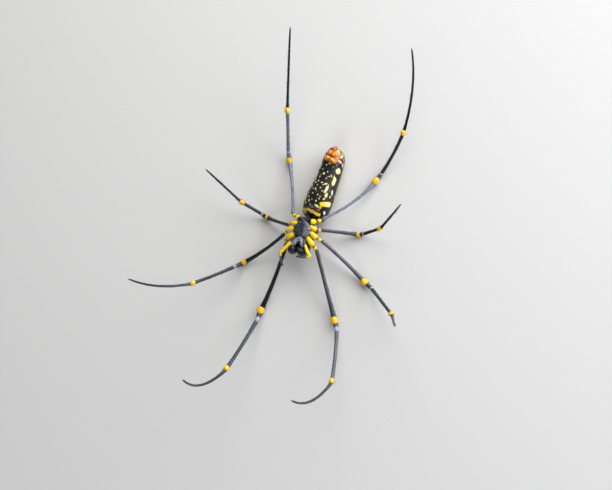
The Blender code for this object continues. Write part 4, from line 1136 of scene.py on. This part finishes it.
def add_coat(name, seed, tufts):
    """One joined mesh of hairs. Each tuft is (piece, lies, count, length, width, lift, colour, blend, weight)."""
    draw = np.random.default_rng(seed)
    vertices, colours, unwraps = [], [], []
    for band, (piece, lies, count, length, width, lift, colour, blend, weight) in enumerate(tufts):
        root, normal, lie, unwrap, edge, tint = hair_roots(piece, lies, count, draw, weight)
        sideways = np.cross(normal, lie)
        sway = draw.normal(0, 0.16, count)[:, None]
        lie = lie * np.cos(sway) + sideways * np.sin(sway)
        sideways = np.cross(normal, lie)
        long = (length * draw.uniform(0.6, 1.25, count))[:, None]
        wide = width * draw.uniform(0.8, 1.2, count)
        rise = np.radians(lift * draw.uniform(0.6, 1.3, count))[:, None]
        stations = []
        for share, climb in BENDS:
            stations.append(root - normal * width * 0.3 + lie * long * share * np.cos(rise) +
                            normal * long * share * climb * np.sin(rise))
        hair = np.zeros((count, 7, 3))
        for stage, girth in ((0, 0.5), (1, 0.4)):
            for corner in range(3):
                turn = math.tau * corner / 3 + math.pi / 2
                hair[:, stage * 3 + corner] = stations[stage] + (girth * wide)[:, None] * (
                    sideways * math.cos(turn) + normal * math.sin(turn))
        hair[:, 6] = stations[2]
        hair[:, :, 2] = np.maximum(hair[:, :, 2], 0)
        vertices.append(hair)
        shown = np.clip(edge / 0.15 + 0.3, 0, 1)[:, None] * blend
        own = np.array(linear(colour)) * draw.uniform(0.7, 1.25, count)[:, None]
        own = own * (1 - shown) + tint * shown
        own[:, 3] = 1
        colours.append(np.repeat(own[:, None], 7, axis=1))
        place = np.column_stack((unwrap[:, 0], (unwrap[:, 1] * 0.98 + 0.01 + band) / len(tufts)))
        patch = np.zeros((count, 7, 2)) + place[:, None]
        for stage, girth in ((0, 1.0), (1, 0.5)):
            for corner in range(3):
                turn = math.tau * corner / 3
                patch[:, stage * 3 + corner] += HAIR_PATCH * girth * np.array((math.cos(turn), math.sin(turn)))
        unwraps.append(patch)
    vertices = np.concatenate(vertices).reshape(-1, 3) * MM
    colours = np.concatenate(colours).reshape(-1, 4)
    unwraps = np.concatenate(unwraps).reshape(-1, 2)
    hairs = len(vertices) // 7
    triangles = np.array(((0, 2, 1), *((a, b, b + 3) for a, b in ((0, 1), (1, 2), (2, 0))),
                          *((a, b + 3, a + 3) for a, b in ((0, 1), (1, 2), (2, 0))),
                          (3, 4, 6), (4, 5, 6), (5, 3, 6)))
    corners = (triangles[None] + 7 * np.arange(hairs)[:, None, None]).reshape(-1, 3)
    mesh = bpy.data.meshes.new(name)
    mesh.vertices.add(len(vertices))
    mesh.vertices.foreach_set("co", vertices.astype(np.float32).ravel())
    mesh.loops.add(corners.size)
    mesh.loops.foreach_set("vertex_index", corners.astype(np.int32).ravel())
    mesh.polygons.add(len(corners))
    mesh.polygons.foreach_set("loop_start", np.arange(0, corners.size, 3, dtype=np.int32))
    mesh.update(calc_edges=True)
    mesh.validate()
    mesh.shade_smooth()
    mesh.uv_layers.new(name="OFBake").data.foreach_set("uv", unwraps[corners.ravel()].astype(np.float32).ravel())
    mesh.materials.append(chitin_hair)
    coat = bpy.data.objects.new(name, mesh)
    bpy.context.scene.collection.objects.link(coat)
    set_values(coat, "tint", colours)
    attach(coat, "root")
    return coat


def towards(direction):
    return lambda points: np.tile(np.array(direction, float), (len(points), 1))


def along_line(path, tangents):
    def lies(points):
        nearest = np.argmin(((points[:, None] - path[None, ::3]) ** 2).sum(axis=2), axis=1) * 3
        return tangents[nearest]
    return lies


def beyond_hip(leg):
    """Weight of a leg's spines: none on the hip and foot tip, most on the shin and the long foot segment."""
    marks = leg_lines[leg][3]

    def weight(points):
        along, _ = leg_coordinates(leg, points)
        return np.where(along < marks[3], 0.0, np.where(along < marks[4], 0.5, 1.0)) * (along < marks[7])
    return weight


tailward = towards((0.08, 1, 0))
add_coat("abdomen_hair", 21, [
    (abdomen, tailward, 7000, 0.4, 0.03, 20, "#2b291c", 0.85, None),
    (abdomen, tailward, 1300, 0.75, 0.035, 36, "#201d13", 0.3, None)])
add_coat("shield_hair", 22, [
    (carapace, towards((0, 1, 0)), 11000, 0.5, 0.045, 16, "#a9a693", 0.0,
     lambda points: np.clip((6.3 - points[:, 2]) / 0.8, 0, 1)),
    (sternum, tailward, 1500, 0.32, 0.026, 16, "#6c6f78", 0.0, lambda points: points[:, 2] > 8.6),
    # Painted highlight: brighter silvery hairs only on the plate's right half, where it catches the light.
    (sternum, tailward, 900, 0.36, 0.03, 14, "#e4e8f2", 0.0,
     lambda points: (points[:, 2] > 8.6) * np.clip((points[:, 0] - BODY.x - 0.6) / 0.7, 0, 1)),
    (sternum, tailward, 150, 0.9, 0.035, 50, "#a4a7ae", 0.0, lambda points: points[:, 2] > 8.6)])
mouth_tufts = []
for side, toward in (("right", 1), ("left", -1)):
    maxilla, jaw = mouthparts[f"maxilla_{side}"], jaws[side]
    inward = (-0.7 * toward, -0.5, 0.5)
    mouth_tufts += [
        # The maxillae's pale brush is real, but its near-white colour is partly a painted highlight.
        (maxilla, towards(inward), 900, 0.4, 0.035, 32, "#f0f4fc", 0.0, lambda points: points[:, 2] > 8.3),
        (jaw, towards((-0.4 * toward, 0.2, 1)), 420, 0.38, 0.028, 18, "#29282a", 0.0, None),
        (jaw, towards((-0.7 * toward, 0.5, 1)), 90, 0.6, 0.03, 40, "#8d8b8a", 0.0,
         lambda points: (points[:, 2] > 8.8)),
        (palps[side][0], along_line(*palps[side][1:]), 900, 0.32, 0.028, 14, "#45454f", 0.8, None),
        (palps[side][0], along_line(*palps[side][1:]), 60, 0.6, 0.04, 35, "#2c2b2e", 0.0, None)]
mouth_tufts.append((mouthparts["labium"], towards((0, -1, 0.3)), 500, 0.4, 0.035, 28, "#b9c0cc", 0.0,
                    lambda points: points[:, 2] > 8.4))
add_coat("mouth_hair", 23, mouth_tufts)
add_coat("spinneret_hair", 24, [
    (piece, towards((0, 0.25, 1)), 260, 0.36, 0.028, 24, "#a8641f", 0.0, None) for piece in spinnerets])
for seed, coat_side in ((25, "right"), (26, "left")):
    leg_tufts = []
    for leg, piece in leg_pieces.items():
        if leg[1] == coat_side:
            lies = along_line(*leg_lines[leg][:2])
            leg_tufts.append((piece, lies, 2600, 0.45, 0.03, 9, "#1d1d24", 0.85, None))
            leg_tufts.append((piece, lies, 110, 1.1, 0.075, 38, "#1c1b20", 0.0, beyond_hip(leg)))
    add_coat(f"leg_hair_{coat_side}", seed, leg_tufts)
